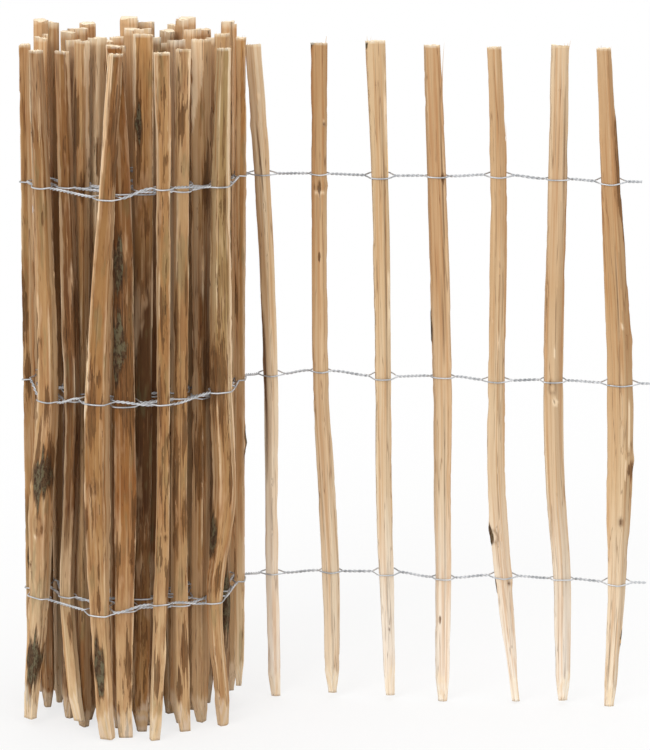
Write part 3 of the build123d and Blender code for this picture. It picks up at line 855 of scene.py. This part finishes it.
def cut_loose(p):
    """Cut the facets of a loose pale: the ones listed, and two at its back."""
    z, share_up = p.z[:, 0], (p.heights - p.levels[0]) / (p.levels[-1] - p.levels[0])
    for low, middle, high, slope, hand, shade in FACETS[p.number]:
        edge = np.interp(share_up, (0.0, 0.5, 1.0), (low, middle, high)) * p.wide[:, 0]
        edge = edge + 0.9 * wander(WAVE_GRID, z / 30.0, low * 9, z / 80.0)
        past = (p.x - edge[:, None]) * hand
        p.y = np.minimum(p.y, p.crest - np.maximum(past, 0.0) * slope)
        # a facet that falls away is painted darker, or lighter above 1: painted shade and light
        p.tint = np.where((past > 0.0) & (p.y > 0.0), shade, p.tint)
    for hand in (-1, 1):
        past = np.maximum(p.x * hand - BACK_EDGE * p.wide, 0.0)
        p.y = np.maximum(p.y, p.y.min(axis=1)[:, None] + past * BACK_SLOPE)


def cut_rolled(p):
    """Round the skin side of a rolled pale and cut the split strips beside it."""
    radius, lean = p.rng.uniform(*LOG_RADIUS), p.rng.uniform(-3.0, 3.0)
    p.y = np.minimum(p.y, p.crest - (p.x - lean) ** 2 / (2.0 * radius)
                     + lean * lean / (6.0 * radius))
    for hand in (-1, 1):
        base, swing = p.rng.uniform(-1.4, 1.8), p.rng.uniform(0.8, 2.4)
        listed = SPLIT_EDGES.get((p.number, hand))
        if listed:
            base, swing = np.interp(p.z / 1000, *zip(*listed)), 0.5
        strip = base + swing * wander(WAVE_GRID, p.z / 150.0, hand * 5 + p.number, 2.0)
        strip = strip + 0.5 * wander(RIB_GRID, p.z / 11.0, hand * 3, p.number)
        inside = 0.5 * p.wide - strip - p.x * hand
        shelf = p.crest - (0.5 * p.wide - strip) ** 2 / (2.0 * radius)
        p.y = np.where(inside < 0.0, np.minimum(p.y, shelf + inside * EDGE_SLOPE), p.y)
        p.skin = np.minimum(p.skin, np.minimum(inside, (p.y - shelf) * 1.4 + 2.6))
        if listed:
            p.fresh = np.maximum(p.fresh, smooth(-inside, -0.1, 0.7) * smooth(base, 0.4, 2.4))


print("rolled pales rounded as from logs of", LOG_RADIUS, "mm")

# %% [markdown]
# Where a pale was rubbed or scraped, clean wood shows: along its corners, and in the
# scrapes of the table above. Smooth ellipses would look stuck on, so the edge of every
# patch is frayed by noise that is long in the direction of the fibres.

# %% Rubbed corners and ragged patches
RUBBED_WIDTH = 1.8        # millimetres
PATCH_POWER = 1.5         # between a lozenge (1) and an ellipse (2)


def lighten_edges(p):
    """Fresh wood shows on rubbed corners and in scrapes, on the outward side only."""
    p.skin = np.where(p.facing > 0.2, p.skin, ALL_SPLIT)
    rubbed = wander(RIB_GRID, p.z / 60.0, p.offset, p.x / 20.0)
    worn = np.exp(-(p.gap / RUBBED_WIDTH) ** 2) * smooth(rubbed, -0.2, 0.4)
    p.fresh = np.maximum(p.fresh, worn * (0.3 if p.kind == "loose" else 0.75))
    p.fresh = np.maximum(p.fresh, smooth(field(SCRAPES, p), 0.0, 0.4))
    p.fresh = p.fresh * smooth(p.facing, -0.1, 0.3)


def field(table, p):
    """Signed ragged patches: above nought inside a patch of the table."""
    total = np.full_like(p.x, -1.0)
    fringe = wander(RIB_GRID, p.x / 2.6, 4.0, p.z / 45.0)
    for height, half_high, across, half_wide, *strength in table.get(p.number, []):
        rise = np.abs(p.z / 1000.0 - height) / half_high / (1.1 + 0.6 * fringe)
        aside = np.abs(p.place - across) / half_wide
        strong = strength[0] if strength else 1.0
        away = (rise ** PATCH_POWER + aside ** PATCH_POWER) ** (1.0 / PATCH_POWER)
        total = np.maximum(total, strong - away)
    return total


print(sum(map(len, SCRAPES.values())), "scrapes")

# %% [markdown]
# Then the surface is pushed about by fractions of a millimetre: long waves from the
# growth of the tree, ribs along the fibres, chips and bays where a piece broke off a
# side, knots and splits. Bark stands a little proud. The foot keeps its level, and
# under the wire the wood is never raised, so the eyes still fit.

# %% Knots and splits
BIG_KNOT = 4.3            # radius from which a knot is sound wood with a dark rim
KNOT_SHAPE = 0.62         # width of a knot over its length
SPLIT_DEPTH = 2.2         # millimetres


def holes(p):
    """Depth in millimetres of the knots and splits of a pale, the dark of its knots and the painted
    shade in its splits.
    """
    depth, dark = np.zeros_like(p.z), np.zeros_like(p.z)
    for height, across, radius, sunk in KNOTS.get(p.number, []):
        away = np.hypot((p.place - across) * p.wide, (p.z - height * 1000) * KNOT_SHAPE) / radius
        hole = np.exp(-(away * 1.15) ** 2)
        depth += sunk * hole - 0.6 * np.exp(-(away - 1.7) ** 2 * 2.5)
        dark += hole * 1.2 if radius < BIG_KNOT else np.exp(-(away - 1.2) ** 2 * 6.0) * 0.45
    for low, high, first, last, half in SPLITS.get(p.number, []):
        t = np.clip((p.z / 1000 - low) / (high - low), 0.0, 1.0)
        wave = 0.5 * wander(WAVE_GRID, p.z / 30.0, low * 7, 0.0)
        where = (first + (last - first) * t) * p.wide + wave
        gape = np.sin(np.pi * t) ** 0.6 * ((t > 0) & (t < 1))
        cut = np.exp(-((p.place * p.wide - where) / half / 1.2) ** 2) * gape
        depth += SPLIT_DEPTH * cut
        # painted shade down a split, over the shade that its depth gives
        dark += cut * min(1.0, half * 0.9)
    return depth, np.clip(dark, 0, 1)


print(sum(map(len, KNOTS.values())), "knots and", sum(map(len, SPLITS.values())), "splits")

# %% Push the surface
WIRE_HEIGHTS = [0.5 * (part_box("wire_%s_a" % row)[0].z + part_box("wire_%s_b" % row)[1].z)
                for row in ROWS]
NEAR_WIRE = 0.012         # metres above and below a row where the wood isn't raised


def push_surface(p):
    """Move every point in (or a little out) along its own facing."""
    x, y, z, offset = p.x, p.y, p.z, p.offset
    rough = 1.0 if p.kind == "loose" else 1.4
    ribs = wander(RIB_GRID, x / 2.9 + offset, y / 2.9, z / 60.0)
    fine = wander(PATCH_GRID, x / 1.3, y / 1.3 + offset, z / 22.0)
    waves = wander(WAVE_GRID, x / 13.0, y / 13.0 + offset, z / 75.0)
    long_waves = wander(WAVE_GRID, x / 26.0 + 5, y / 26.0 + offset, z / 160.0)
    split_side = smooth(-p.skin, -0.5, 1.0)
    chips = wander(PATCH_GRID, z / 13.0, offset, x / 16.0)
    chips = np.maximum(0.0, chips - 0.25) * np.exp(-(p.gap / 2.2) ** 2) * 2.2 * rough
    bays = wander(WAVE_GRID, z / 42.0, np.sign(x) * 2.5 + offset, 3.0)
    bays = np.maximum(0.0, bays - 0.1) * smooth(np.abs(p.side_on), 0.2, 0.8) * 1.6 * rough
    front = smooth(p.facing, 0.15, 0.5)
    depth, dark = holes(p)
    p.hollow = dark * front
    p.bark, p.flame = (np.where(p.facing > 0.1, field(table, p), -1.0) for table in (BARK, FLAMES))
    push = (0.34 * rough * waves + 0.38 * rough * long_waves + ribs * (0.10 + 0.26 * split_side)
            + fine * 0.10 * split_side + 0.25 + chips + bays + depth * front
            - 0.35 * smooth(p.flame, -0.05, 0.1) - 0.8 * smooth(p.bark, -0.05, 0.15))
    near_wire = sum(np.exp(-((z / 1000 - level) / NEAR_WIRE) ** 2) for level in WIRE_HEIGHTS)
    push = np.where(near_wire > 0.35, np.maximum(push, 0.05), push)
    push = push * smooth(z, p.levels[0] * 1000 - 5, p.levels[0] * 1000 + 6)
    for height, hand, half, bump in KNOBS.get(p.number, []):
        beside = smooth(p.side_on * hand, 0.1, 0.8)
        push = push - bump * np.exp(-((z - height * 1000) / half) ** 2) * beside
    p.x, p.y = x - p.side_on * push, y - p.facing * push


print("rows of wire at", [round(level, 3) for level in WIRE_HEIGHTS])

# %% [markdown]
# Last come the sawn top, which is never quite level and has a torn rim, and the colour:
# the named woods up the pale, the painted shade and light of each facet and the fresh
# wood. One function runs all the steps. The order of the random draws is part of the result.

# %% Dress one pale
def cut_top(p):
    """Slant the sawn top a little and tear its rim."""
    x, y = p.x[-1], p.y[-1]
    p.tall = p.z / 1000
    slant = p.rng.uniform(-0.13, 0.13) * x + p.rng.uniform(-0.22, 0.08) * y
    teeth = wander(RIB_GRID, x / 2.2, y / 2.2 + p.offset, 0.0)
    p.tall[-1] -= 0.001 * np.clip(slant + 0.9 + 1.3 * teeth, 0.0, 5.0)
    p.tall[-2] = np.minimum(p.tall[-2], p.tall[-1] - 0.0012)


def colour_wood(p):
    """Colour of every point, and how many shreds of inner bark cling there."""
    # the named woods, times the painted shade and light of each facet
    ground = wood_up(p.name, p.z / 1000, p.rng) * p.tint[..., None]
    p.ground = ground + (linear(FRESH_WOOD) - ground) * (0.85 * p.fresh[..., None])
    p.shreds = p.rng.uniform(-0.25, 0.6) + 0.5 * wander(WAVE_GRID, p.z / 190.0, p.offset, 0.0)


def dress(name):
    p = bare_pale(name)
    if p.kind == "loose":
        cut_loose(p)
    else:
        cut_rolled(p)
    lighten_edges(p)
    push_surface(p)
    cut_top(p)
    colour_wood(p)
    flat = np.stack([p.x, p.y], axis=-1)
    p.plan = p.middle[:, None, :] + (flat[..., :1] * p.across + flat[..., 1:] * p.outward) / 1000
    return p


print("steps of dressing ready")

# %% [markdown]
# Splitting tears the wood along its fibres and leaves splinters: thin blades that are
# still held at one end, and short fibres that stand up round the sawn top. Each is drawn
# as a three-sided blade that starts inside the wood and bends away from it.

# %% Splinters
# height of the root, of the tip, place across, how far it bends across and outward (mm), width
SPLINTERS = {
    51: [(0.905, 0.996, 0.46, 5.5, 0.0, 1.2)],
    50: [(0.8, 0.965, 0.47, 1.2, 0.0, 2.4), (0.975, 1.004, -0.42, -1.0, 0.0, 1.6),
         (0.975, 1.003, -0.25, 1.0, 0.0, 1.0)],
    53: [(0.98, 1.002, 0.42, 3.0, 0.0, 0.9)],
    49: [(0.985, 1.003, 0.4, 1.4, 0.0, 1.2)],
    44: [(0.5, 0.6, -0.48, -2.2, 1.5, 1.4), (0.51, 0.585, -0.42, -1.6, 2.2, 1.2),
         (0.47, 0.56, -0.5, -1.4, 0.6, 1.2), (0.53, 0.61, -0.36, 0.6, 1.6, 1.0)],
    54: [(0.1, 0.135, 0.47, 1.5, 0.0, 2.0)],
    52: [(0.15, 0.2, -0.49, -1.0, 0.0, 1.4)],
    34: [(0.88, 0.995, -0.44, -1.6, 0.6, 1.4)],
}
# splinters that a pale has by chance
CHANCE_BLADES = {"loose": 6, "front": 10, "outer": 6, "inner": 3}
print(sum(map(len, SPLINTERS.values())), "listed splinters")

# %% Blades
BLADE_STEPS = 7
BLADE_SUNK = 0.6          # millimetres that its foot is inside the wood


def ring_faces(rows, around):
    """Four-sided faces between rings of points that follow one another."""
    faces = []
    for row in range(rows - 1):
        for k in range(around):
            a, b = row * around + k, row * around + (k + 1) % around
            faces.append((a, b, b + around, a + around))
    return faces


def blades_of(p):
    """Root, tip, bend and width of every splinter of a pale, its own and some by chance."""
    rng, wide = p.rng, float(p.wide[len(p.wide) // 2, 0])
    top, foot = p.levels[-1], p.levels[0]
    found = [(low, high, across * wide, None, bend, out, width)
             for low, high, across, bend, out, width in SPLINTERS.get(p.number, [])]
    for _ in range(CHANCE_BLADES[p.kind]):
        if rng.random() < 0.5:
            tip = top + rng.uniform(-0.001, 0.0035)
            root = tip - rng.uniform(0.012, 0.03)
            spread = rng.uniform(-1.2, 1.2)
        else:
            root = rng.uniform(foot + 0.05, top - 0.12)
            tip = root + rng.uniform(0.015, 0.07)
            spread = rng.uniform(0.3, 1.1)
        found.append((root, tip, None, int(rng.integers(1000)), spread, rng.uniform(0.0, 0.9),
                      rng.uniform(0.5, 1.3)))
    return found


def blade(p, root, tip, across, spot, bend, out, width):
    """Points and faces of one splinter: local millimetres, height, and its pale's middle."""
    row = int(np.clip(np.searchsorted(p.heights, root), 1, len(p.heights) - 2))
    x, y = p.x[row], p.y[row]
    if spot is None:
        near = np.argsort(np.abs(x - across))[:4]
        k = int(near[np.argmax(y[near])])
    else:
        k = spot % len(x)
    foot = np.array([x[k], y[k]])
    reach = max(1e-6, np.hypot(*foot))
    away = np.array([bend, out])
    if spot is not None:
        ray = foot / reach
        away = ray * bend + np.array([-ray[1], ray[0]]) * out * 0.5
    line = middle_at(p, np.linspace(root, tip, BLADE_STEPS))
    sunk = foot * (-BLADE_SUNK / reach)
    points = []
    for step in range(BLADE_STEPS):
        t = step / (BLADE_STEPS - 1)
        centre = foot + sunk + away * t ** 1.8
        size = width * (1.0 - t) ** 0.7 * 0.5 + 0.06
        for corner in ((-size, 0.0), (size, 0.0), (0.0, size * 0.8)):
            points.append((centre[0] + corner[0], centre[1] + corner[1],
                           root + (tip - root) * t, *line[step]))
    last = len(points) - 1
    faces = ring_faces(BLADE_STEPS, 3) + [(2, 1, 0), (last - 2, last - 1, last)]
    return np.array(points), faces


print("blades of", BLADE_STEPS, "steps")

# %% [markdown]
# The rings become a skin of four-sided faces. The two ends are closed with smaller and
# smaller rings and a middle point, because a sawn end is not one flat face: its fibres
# stand at slightly different heights.

# %% Close the ends
END_RINGS = (0.86, 0.55, 0.25)    # size of each smaller ring
END_ROUGHNESS = 0.0007            # metres between the fibres of a sawn end


def end_points(ring, tall, up, rng):
    """Rings that close an end, each smaller and a touch rough, and the middle point."""
    centre, level = ring.mean(axis=0), tall.mean()
    found = []
    for share in END_RINGS:
        rough = rng.uniform(0.0, END_ROUGHNESS, len(ring)) * (-1 if up else 1)
        plan = centre + (ring - centre) * share
        found.append(np.column_stack([plan, level + (tall - level) * share + rough]))
    return found + [np.array([[*centre, level]])]


def cap_faces(first, begin, around, flip):
    """Faces that close one end, from its outer ring to the middle point."""
    loops = [first] + [begin + k * around for k in range(len(END_RINGS))]
    faces = []
    for lower, upper in zip(loops, loops[1:]):
        faces += [(lower + k, lower + (k + 1) % around, upper + (k + 1) % around, upper + k)
                  for k in range(around)]
    tip = begin + len(END_RINGS) * around
    faces += [(loops[-1] + k, loops[-1] + (k + 1) % around, tip) for k in range(around)]
    return [face[::-1] for face in faces] if flip else faces


print("ends closed with", len(END_RINGS), "rings")

# %% [markdown]
# The paint can only know what the mesh tells it. So every point gets its place in the
# log, its colour and a number for each kind of mark. The place is shifted far away for
# each pale, so that no two pales are cut from the same piece of the noise.

# %% Write down what the paint reads
LAYER_SLOTS = {"FLOAT": "value", "FLOAT_VECTOR": "vector", "FLOAT_COLOR": "color"}
SHIFT_ACROSS, SHIFT_ALONG = 61.0, 137.0   # millimetres from one pale's wood to the next
FOOT_CLEAN, TOP_CLEAN = 0.7, 1.0          # how freshly cut the two ends look


def write_numbers(mesh, name, values, kind="FLOAT"):
    layer = mesh.attributes.new(name, kind, "POINT")
    values = np.ascontiguousarray(values, dtype=np.float32).ravel()
    layer.data.foreach_set(LAYER_SLOTS[kind], values)


def sawn_share(p, points, x, foot_at, top_at, body_count):
    """How freshly cut each point is: most on the top, less on the hewn foot."""
    sawn = np.zeros(len(points))
    sawn[foot_at:top_at] = FOOT_CLEAN
    sawn[top_at:body_count] = TOP_CLEAN
    height, x = points[:foot_at, 2], x[:foot_at]
    line = 0.004 + 0.0016 * x * math.sin(p.number * 2.3) + 0.004 * np.sin(x * 0.8 + p.number)
    hewn = 0.34 * smooth(p.levels[1] - height + line, -0.004, 0.006)
    top = p.levels[-1]
    # a band just under the top takes the end colour too: fresh-cut wood and painted light along the
    # top edge
    sawn[:foot_at] = np.maximum(hewn, smooth(height, top - 0.0035, top - 0.0008) * 0.6)
    return sawn


def paint_points(mesh, p, points, foot_at, top_at, body_count):
    """What the paint has to know, at every point of the mesh."""
    local = (points[:, :2] - middle_at(p, points[:, 2])) * 1000
    x, y = local @ p.across, local @ p.outward
    fibre = np.column_stack([x + p.number * SHIFT_ACROSS, y,
                             points[:, 2] * 1000 + p.number * SHIFT_ALONG])
    heart = 22.0 + (p.number * 7 % 13)    # from the pale to the heart of its log
    ground = np.ones((len(points), 4))
    ground[:, :3] = p.ground.reshape(-1, 3).mean(axis=0)
    ground[:foot_at, :3] = p.ground.reshape(-1, 3)
    ground[body_count:, :3] = linear(SPLINTER_WOOD)
    write_numbers(mesh, "fibre", fibre, "FLOAT_VECTOR")
    write_numbers(mesh, "ground", ground, "FLOAT_COLOR")
    write_numbers(mesh, "age", np.hypot(x, y + heart))
    write_numbers(mesh, "sawn", sawn_share(p, points, x, foot_at, top_at, body_count))
    for name, values, elsewhere in (("skin", p.skin, ALL_SPLIT), ("bark", p.bark, -1.0),
                                    ("tongues", p.flame, -1.0), ("hollow", p.hollow, 0.0),
                                    ("shreds", p.shreds, -1.0)):
        at_ends = np.full(len(points) - values.size, elsewhere)
        write_numbers(mesh, name, np.concatenate([values.ravel(), at_ends]))


print("layers written as", sorted(LAYER_SLOTS))

# %% [markdown]
# Now every pale is built: dressed, closed, given its splinters, painted and put in the
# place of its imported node. It rides on the root, because the roll is one rigid piece.

# %% Build the pales
def make_mesh(name, points, faces, material, smooth_faces):
    mesh = bpy.data.meshes.new(name)
    mesh.from_pydata([tuple(point) for point in points], [], faces)
    mesh.materials.append(material)
    mesh.polygons.foreach_set("use_smooth", smooth_faces)
    return put_in_scene(name, mesh)


def build_pale(name):
    p = dress(name)
    rows, around = p.tall.shape
    body = np.dstack([p.plan, p.tall[..., None]]).reshape(-1, 3)
    pieces = [body] + end_points(p.plan[0], p.tall[0], False, p.rng)
    pieces += end_points(p.plan[-1], p.tall[-1], True, p.rng)
    foot_at = rows * around
    top_at = foot_at + len(END_RINGS) * around + 1
    body_count = count = top_at + len(END_RINGS) * around + 1
    faces = ring_faces(rows, around)
    sides = len(faces)
    faces += cap_faces(0, foot_at, around, True)
    faces += cap_faces((rows - 1) * around, top_at, around, False)
    for mark in blades_of(p):
        found, blade_faces = blade(p, *mark)
        plan = found[:, 3:5] + (found[:, :1] * p.across + found[:, 1:2] * p.outward) / 1000
        pieces.append(np.column_stack([plan, np.minimum(found[:, 2], cad_box[1][2])]))
        faces += [tuple(v + count for v in face) for face in blade_faces]
        count += len(found)
    points = np.concatenate(pieces)
    wood = loose_wood if p.kind == "loose" else rolled_wood
    pale = make_mesh("dressed_" + name, points, faces, wood, [k < sides for k in range(len(faces))])
    paint_points(pale.data, p, points, foot_at, top_at, body_count)
    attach(pale, "root")
    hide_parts(name)
    return pale


made_pales = [build_pale(name) for name in PALES]
print(len(made_pales), "pales with", sum(len(made.data.polygons) for made in made_pales), "faces")

# %% [markdown]
# Each row of wire is two strands. Between the pales they are wound round each other,
# and at a pale they part, one passing in front and one behind, so that the pale is
# gripped in an eye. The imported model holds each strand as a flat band. Its outline is
# read back here, and the line down its middle is the way that the strand goes. The way
# could be drawn anew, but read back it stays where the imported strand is.

# %% Read a strand's way
def outline_of(node):
    """The points round a flat band in plan, in order."""
    mesh = nodes[node].data
    points = np.round(points_of(node), 5)
    mesh.calc_loop_triangles()
    lows = points[:, 2] < points[:, 2].mean()
    links = {}
    for triangle in mesh.loop_triangles:
        corners = [tuple(points[v, :2]) for v in triangle.vertices]
        if len({bool(lows[v]) for v in triangle.vertices}) == 2:
            a, b = min(corners), max(corners)
            links.setdefault(a, set()).add(b)
            links.setdefault(b, set()).add(a)
    start = min(links)
    ring, before, here = [start], None, start
    while True:
        ahead = [spot for spot in sorted(links[here]) if spot != before]
        before, here = here, ahead[0]
        if here == start:
            return np.array(ring)
        ring.append(here)


def way_of(node):
    """The middle line of a band: pair the two sides so that the width stays even."""
    ring = outline_of(node)
    half = len(ring) // 2
    least, way = math.inf, None
    for turn in range(len(ring)):
        rolled = np.roll(ring, -turn, axis=0)
        left, right = rolled[:half], rolled[::-1][:half]
        apart = np.linalg.norm(left - right, axis=1).sum()
        if apart < least:
            least, way = apart, 0.5 * (left + right)
    return way if way[-1][0] > way[0][0] else way[::-1]


WAYS = {(row, side): way_of("wire_%s_%s" % (row, side)) for row in ROWS for side in "ab"}
for key, way in WAYS.items():
    length = np.linalg.norm(np.diff(way, axis=0), axis=1).sum()
    print(key, len(way), "bends,", round(length, 3), "m")

# %% [markdown]
# Where the ways of the two strands are one, the wire is twisted, and where they part
# there is a pale. So each way is cut into bays and eyes. In a bay the strand climbs
# round the shared line, a whole number of turns each time, so that the upper strand
# comes to the next pale on top again. The wire grips each pale a little higher or lower
# than its neighbour, because it slid while the roll was wound.

# %% Bays and eyes
STEP = 0.0014             # metres between the rings of a strand's tube


def shared_points(way, other):
    """Which points of a way lie on the way of the other strand."""
    return np.linalg.norm(way[:, None, :] - other[None, :, :], axis=2).min(axis=1) < 5e-5


def cut_in_stretches(way, shared):
    """Runs of the way: (is it a bay, its points). Tips belong to both neighbours."""
    stretches, first = [], 0
    for k in range(1, len(way)):
        ends_bay = shared[k] and not (k + 1 < len(way) and shared[k + 1])
        ends_eye = shared[k] and not shared[k - 1]
        if ends_bay or ends_eye or k == len(way) - 1:
            bay = bool(shared[first] and shared[min(first + 1, k)])
            stretches.append((bay, way[first:k + 1]))
            first = k
    return stretches


def spaced(points, step):
    """The same line with points at even distances, how far along each is, its length."""
    sides = np.linalg.norm(np.diff(points, axis=0), axis=1)
    lengths = np.concatenate([[0.0], np.cumsum(sides)])
    count = max(2, int(round(lengths[-1] / step)) + 1)
    at = np.linspace(0.0, lengths[-1], count)
    line = np.column_stack([np.interp(at, lengths, points[:, k]) for k in range(points.shape[1])])
    return line, at / lengths[-1], lengths[-1]


def soften(line, passes):
    for _ in range(passes):
        line[1:-1] = 0.25 * line[:-2] + 0.5 * line[1:-1] + 0.25 * line[2:]
    return line


print("rings of a strand's tube every", STEP * 1000, "mm")

# %% Slides of the rows
SLIDE = 6.0               # millimetres, the most that a row has slid inside the roll
FIRST_LISTED = 42
# how far each row has slid up or down on the outer pales, in millimetres, from pale_42 on
SLID = {
    "top": (0, 0, -4, 9, 5, 9, 1, 2, 1, 2, 5, 1, -1),
    "middle": (12, -7, 6, 0, 8, 9, 2, 8, 2, 4, 0, 2, 0),
    "bottom": (-4, -7, -7, 6, -4, 5, -5, 0, 1, -5, 0, -2, -5),
}


def slides(row):
    """Height at which a row grips each pale, in metres from its packed height."""
    rng = np.random.default_rng(SEEDS["slides"] + ROWS.index(row))
    inner = rng.uniform(-SLIDE, SLIDE, FIRST_LISTED - 1)
    return np.concatenate([inner, SLID[row]]) / 1000


def owner_of(points):
    """Number of the pale that an eye goes round, counted from nought, and its side."""
    middle = 0.5 * (points[0] + points[-1])
    far = [np.linalg.norm(CENTRES[name] - middle) for name in PALES]
    number = int(np.argmin(far))
    bulge = points[len(points) // 2] - middle
    return number, 1.0 if bulge @ away_from_middle(PALES[number]) > 0 else -1.0


print("rows slid by up to", SLIDE, "mm inside the roll")

# %% [markdown]
# With its bays and eyes known, the line of a strand is put together from them and
# softened where they meet. At every point it has a place in plan, a turn of the twist
# and a height. Then it is wound: the sine of the turn moves it sideways and the cosine
# up and down, and the other strand does the opposite. Two curves could be twisted by a
# modifier, but that knows nothing of the pales between them.

# %% Twist the strands
STRAND = 0.00112          # metres, the radius of one strand
TURN = 0.0128             # metres, one full turn of the twist
DIP = (0.6, 3.2)          # millimetres that the outer strand sags in an eye, and the inner rises
PLAN_PASSES, LIFT_PASSES = 3, 6       # how often the plan and the height are softened


def joined(parts):
    """Stretches in one piece; the last point of each is the first of the next."""
    return np.concatenate([part[:-1] for part in parts[:-1]] + parts[-1:])


def untwisted(row, side):
    """Place in plan, turn of the twist and height at every point of a strand."""
    way, other = WAYS[row, side], WAYS[row, "b" if side == "a" else "a"]
    stretches = cut_in_stretches(way, shared_points(way, other))
    grips = slides(row)
    rng = np.random.default_rng(SEEDS["dips"] + ROWS.index(row))
    dips = rng.uniform(*DIP, len(PALES)) / 1000
    owners = [None if bay else owner_of(points) for bay, points in stretches]
    plans, phases, lifts = [], [], []
    for k, (bay, points) in enumerate(stretches):
        line, t, length = spaced(points, STEP)
        if bay:
            before = owners[k - 1][0] if k else 0
            after = owners[k + 1][0] if k + 1 < len(owners) else before
            phases.append(2.0 * math.pi * max(1, int(round(length / TURN))) * t)
            lifts.append(grips[before] + (grips[after] - grips[before]) * smooth(t, 0.0, 1.0))
        else:
            number, outer = owners[k]
            phases.append(np.zeros(len(t)))
            lifts.append(grips[number] - outer * dips[number] * np.sin(math.pi * t))
        plans.append(line)
    return (soften(joined(plans), PLAN_PASSES), joined(phases),
            soften(joined(lifts), LIFT_PASSES))


def strand_line(row, side):
    """Points in space down the middle of one strand."""
    plan, phase, lift = untwisted(row, side)
    along = unit(np.gradient(plan, axis=0))
    normal = np.column_stack([-along[:, 1], along[:, 0]])
    hand = 1.0 if side == "a" else -1.0
    plan = plan + normal * (hand * STRAND * np.sin(phase))[:, None]
    boxes = [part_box("wire_%s_%s" % (row, letter)) for letter in "ab"]
    level = 0.25 * sum(corner.z for pair in boxes for corner in pair)
    line = np.column_stack([plan, level + hand * STRAND * np.cos(phase) + lift])
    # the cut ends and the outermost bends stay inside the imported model's box
    line = line[line[:, 0] < cad_box[1][0] - STRAND]
    line[:, 1] = np.minimum(line[:, 1], cad_box[1][1] - STRAND)
    return line


lines = {key: strand_line(*key) for key in WAYS}
print("a turn every", TURN * 1000, "mm; rings of the strands:",
      {"%s_%s" % key: len(line) for key, line in lines.items()})

# %% [markdown]
# A strand is a thin tube along its line. A curve with a round bevel would do it, but a
# curve turns its ring freely on a twisted line, and the ends stay open. So the tube is
# laid ring by ring, each ring carried over from the last without turning, and the cut
# ends are closed.

# %% Draw the strands
RING_SIDES = 6


def tube(name, line, radius):
    along = unit(np.gradient(line, axis=0))
    side = np.cross(along[0], (0.0, 0.0, 1.0))
    angles = np.arange(RING_SIDES) * 2.0 * math.pi / RING_SIDES
    points = []
    for place, ahead in zip(line, along):
        side = unit(side - ahead * (side @ ahead))
        up = np.cross(ahead, side)
        points.append(place + radius * (np.cos(angles)[:, None] * side
                                        + np.sin(angles)[:, None] * up))
    points = np.concatenate(points + [line[:1], line[-1:]])
    faces = ring_faces(len(line), RING_SIDES)
    last, tips = (len(line) - 1) * RING_SIDES, len(line) * RING_SIDES
    for k in range(RING_SIDES):
        after = (k + 1) % RING_SIDES
        faces += [(after, k, tips), (last + k, last + after, tips + 1)]
    return make_mesh(name, points, faces, zinc, [True] * len(faces))


strands = []
for (row, side), line in lines.items():
    strand = tube("twisted_wire_%s_%s" % (row, side), line, STRAND)
    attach(strand, "root")
    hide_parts("wire_%s_%s" % (row, side))
    strands.append(strand)
print(len(strands), "strands with", sum(len(made.data.polygons) for made in strands), "faces")

# %% Sizes and finish
print("packed", [tuple(round(c, 4) for c in v) for v in cad_box])
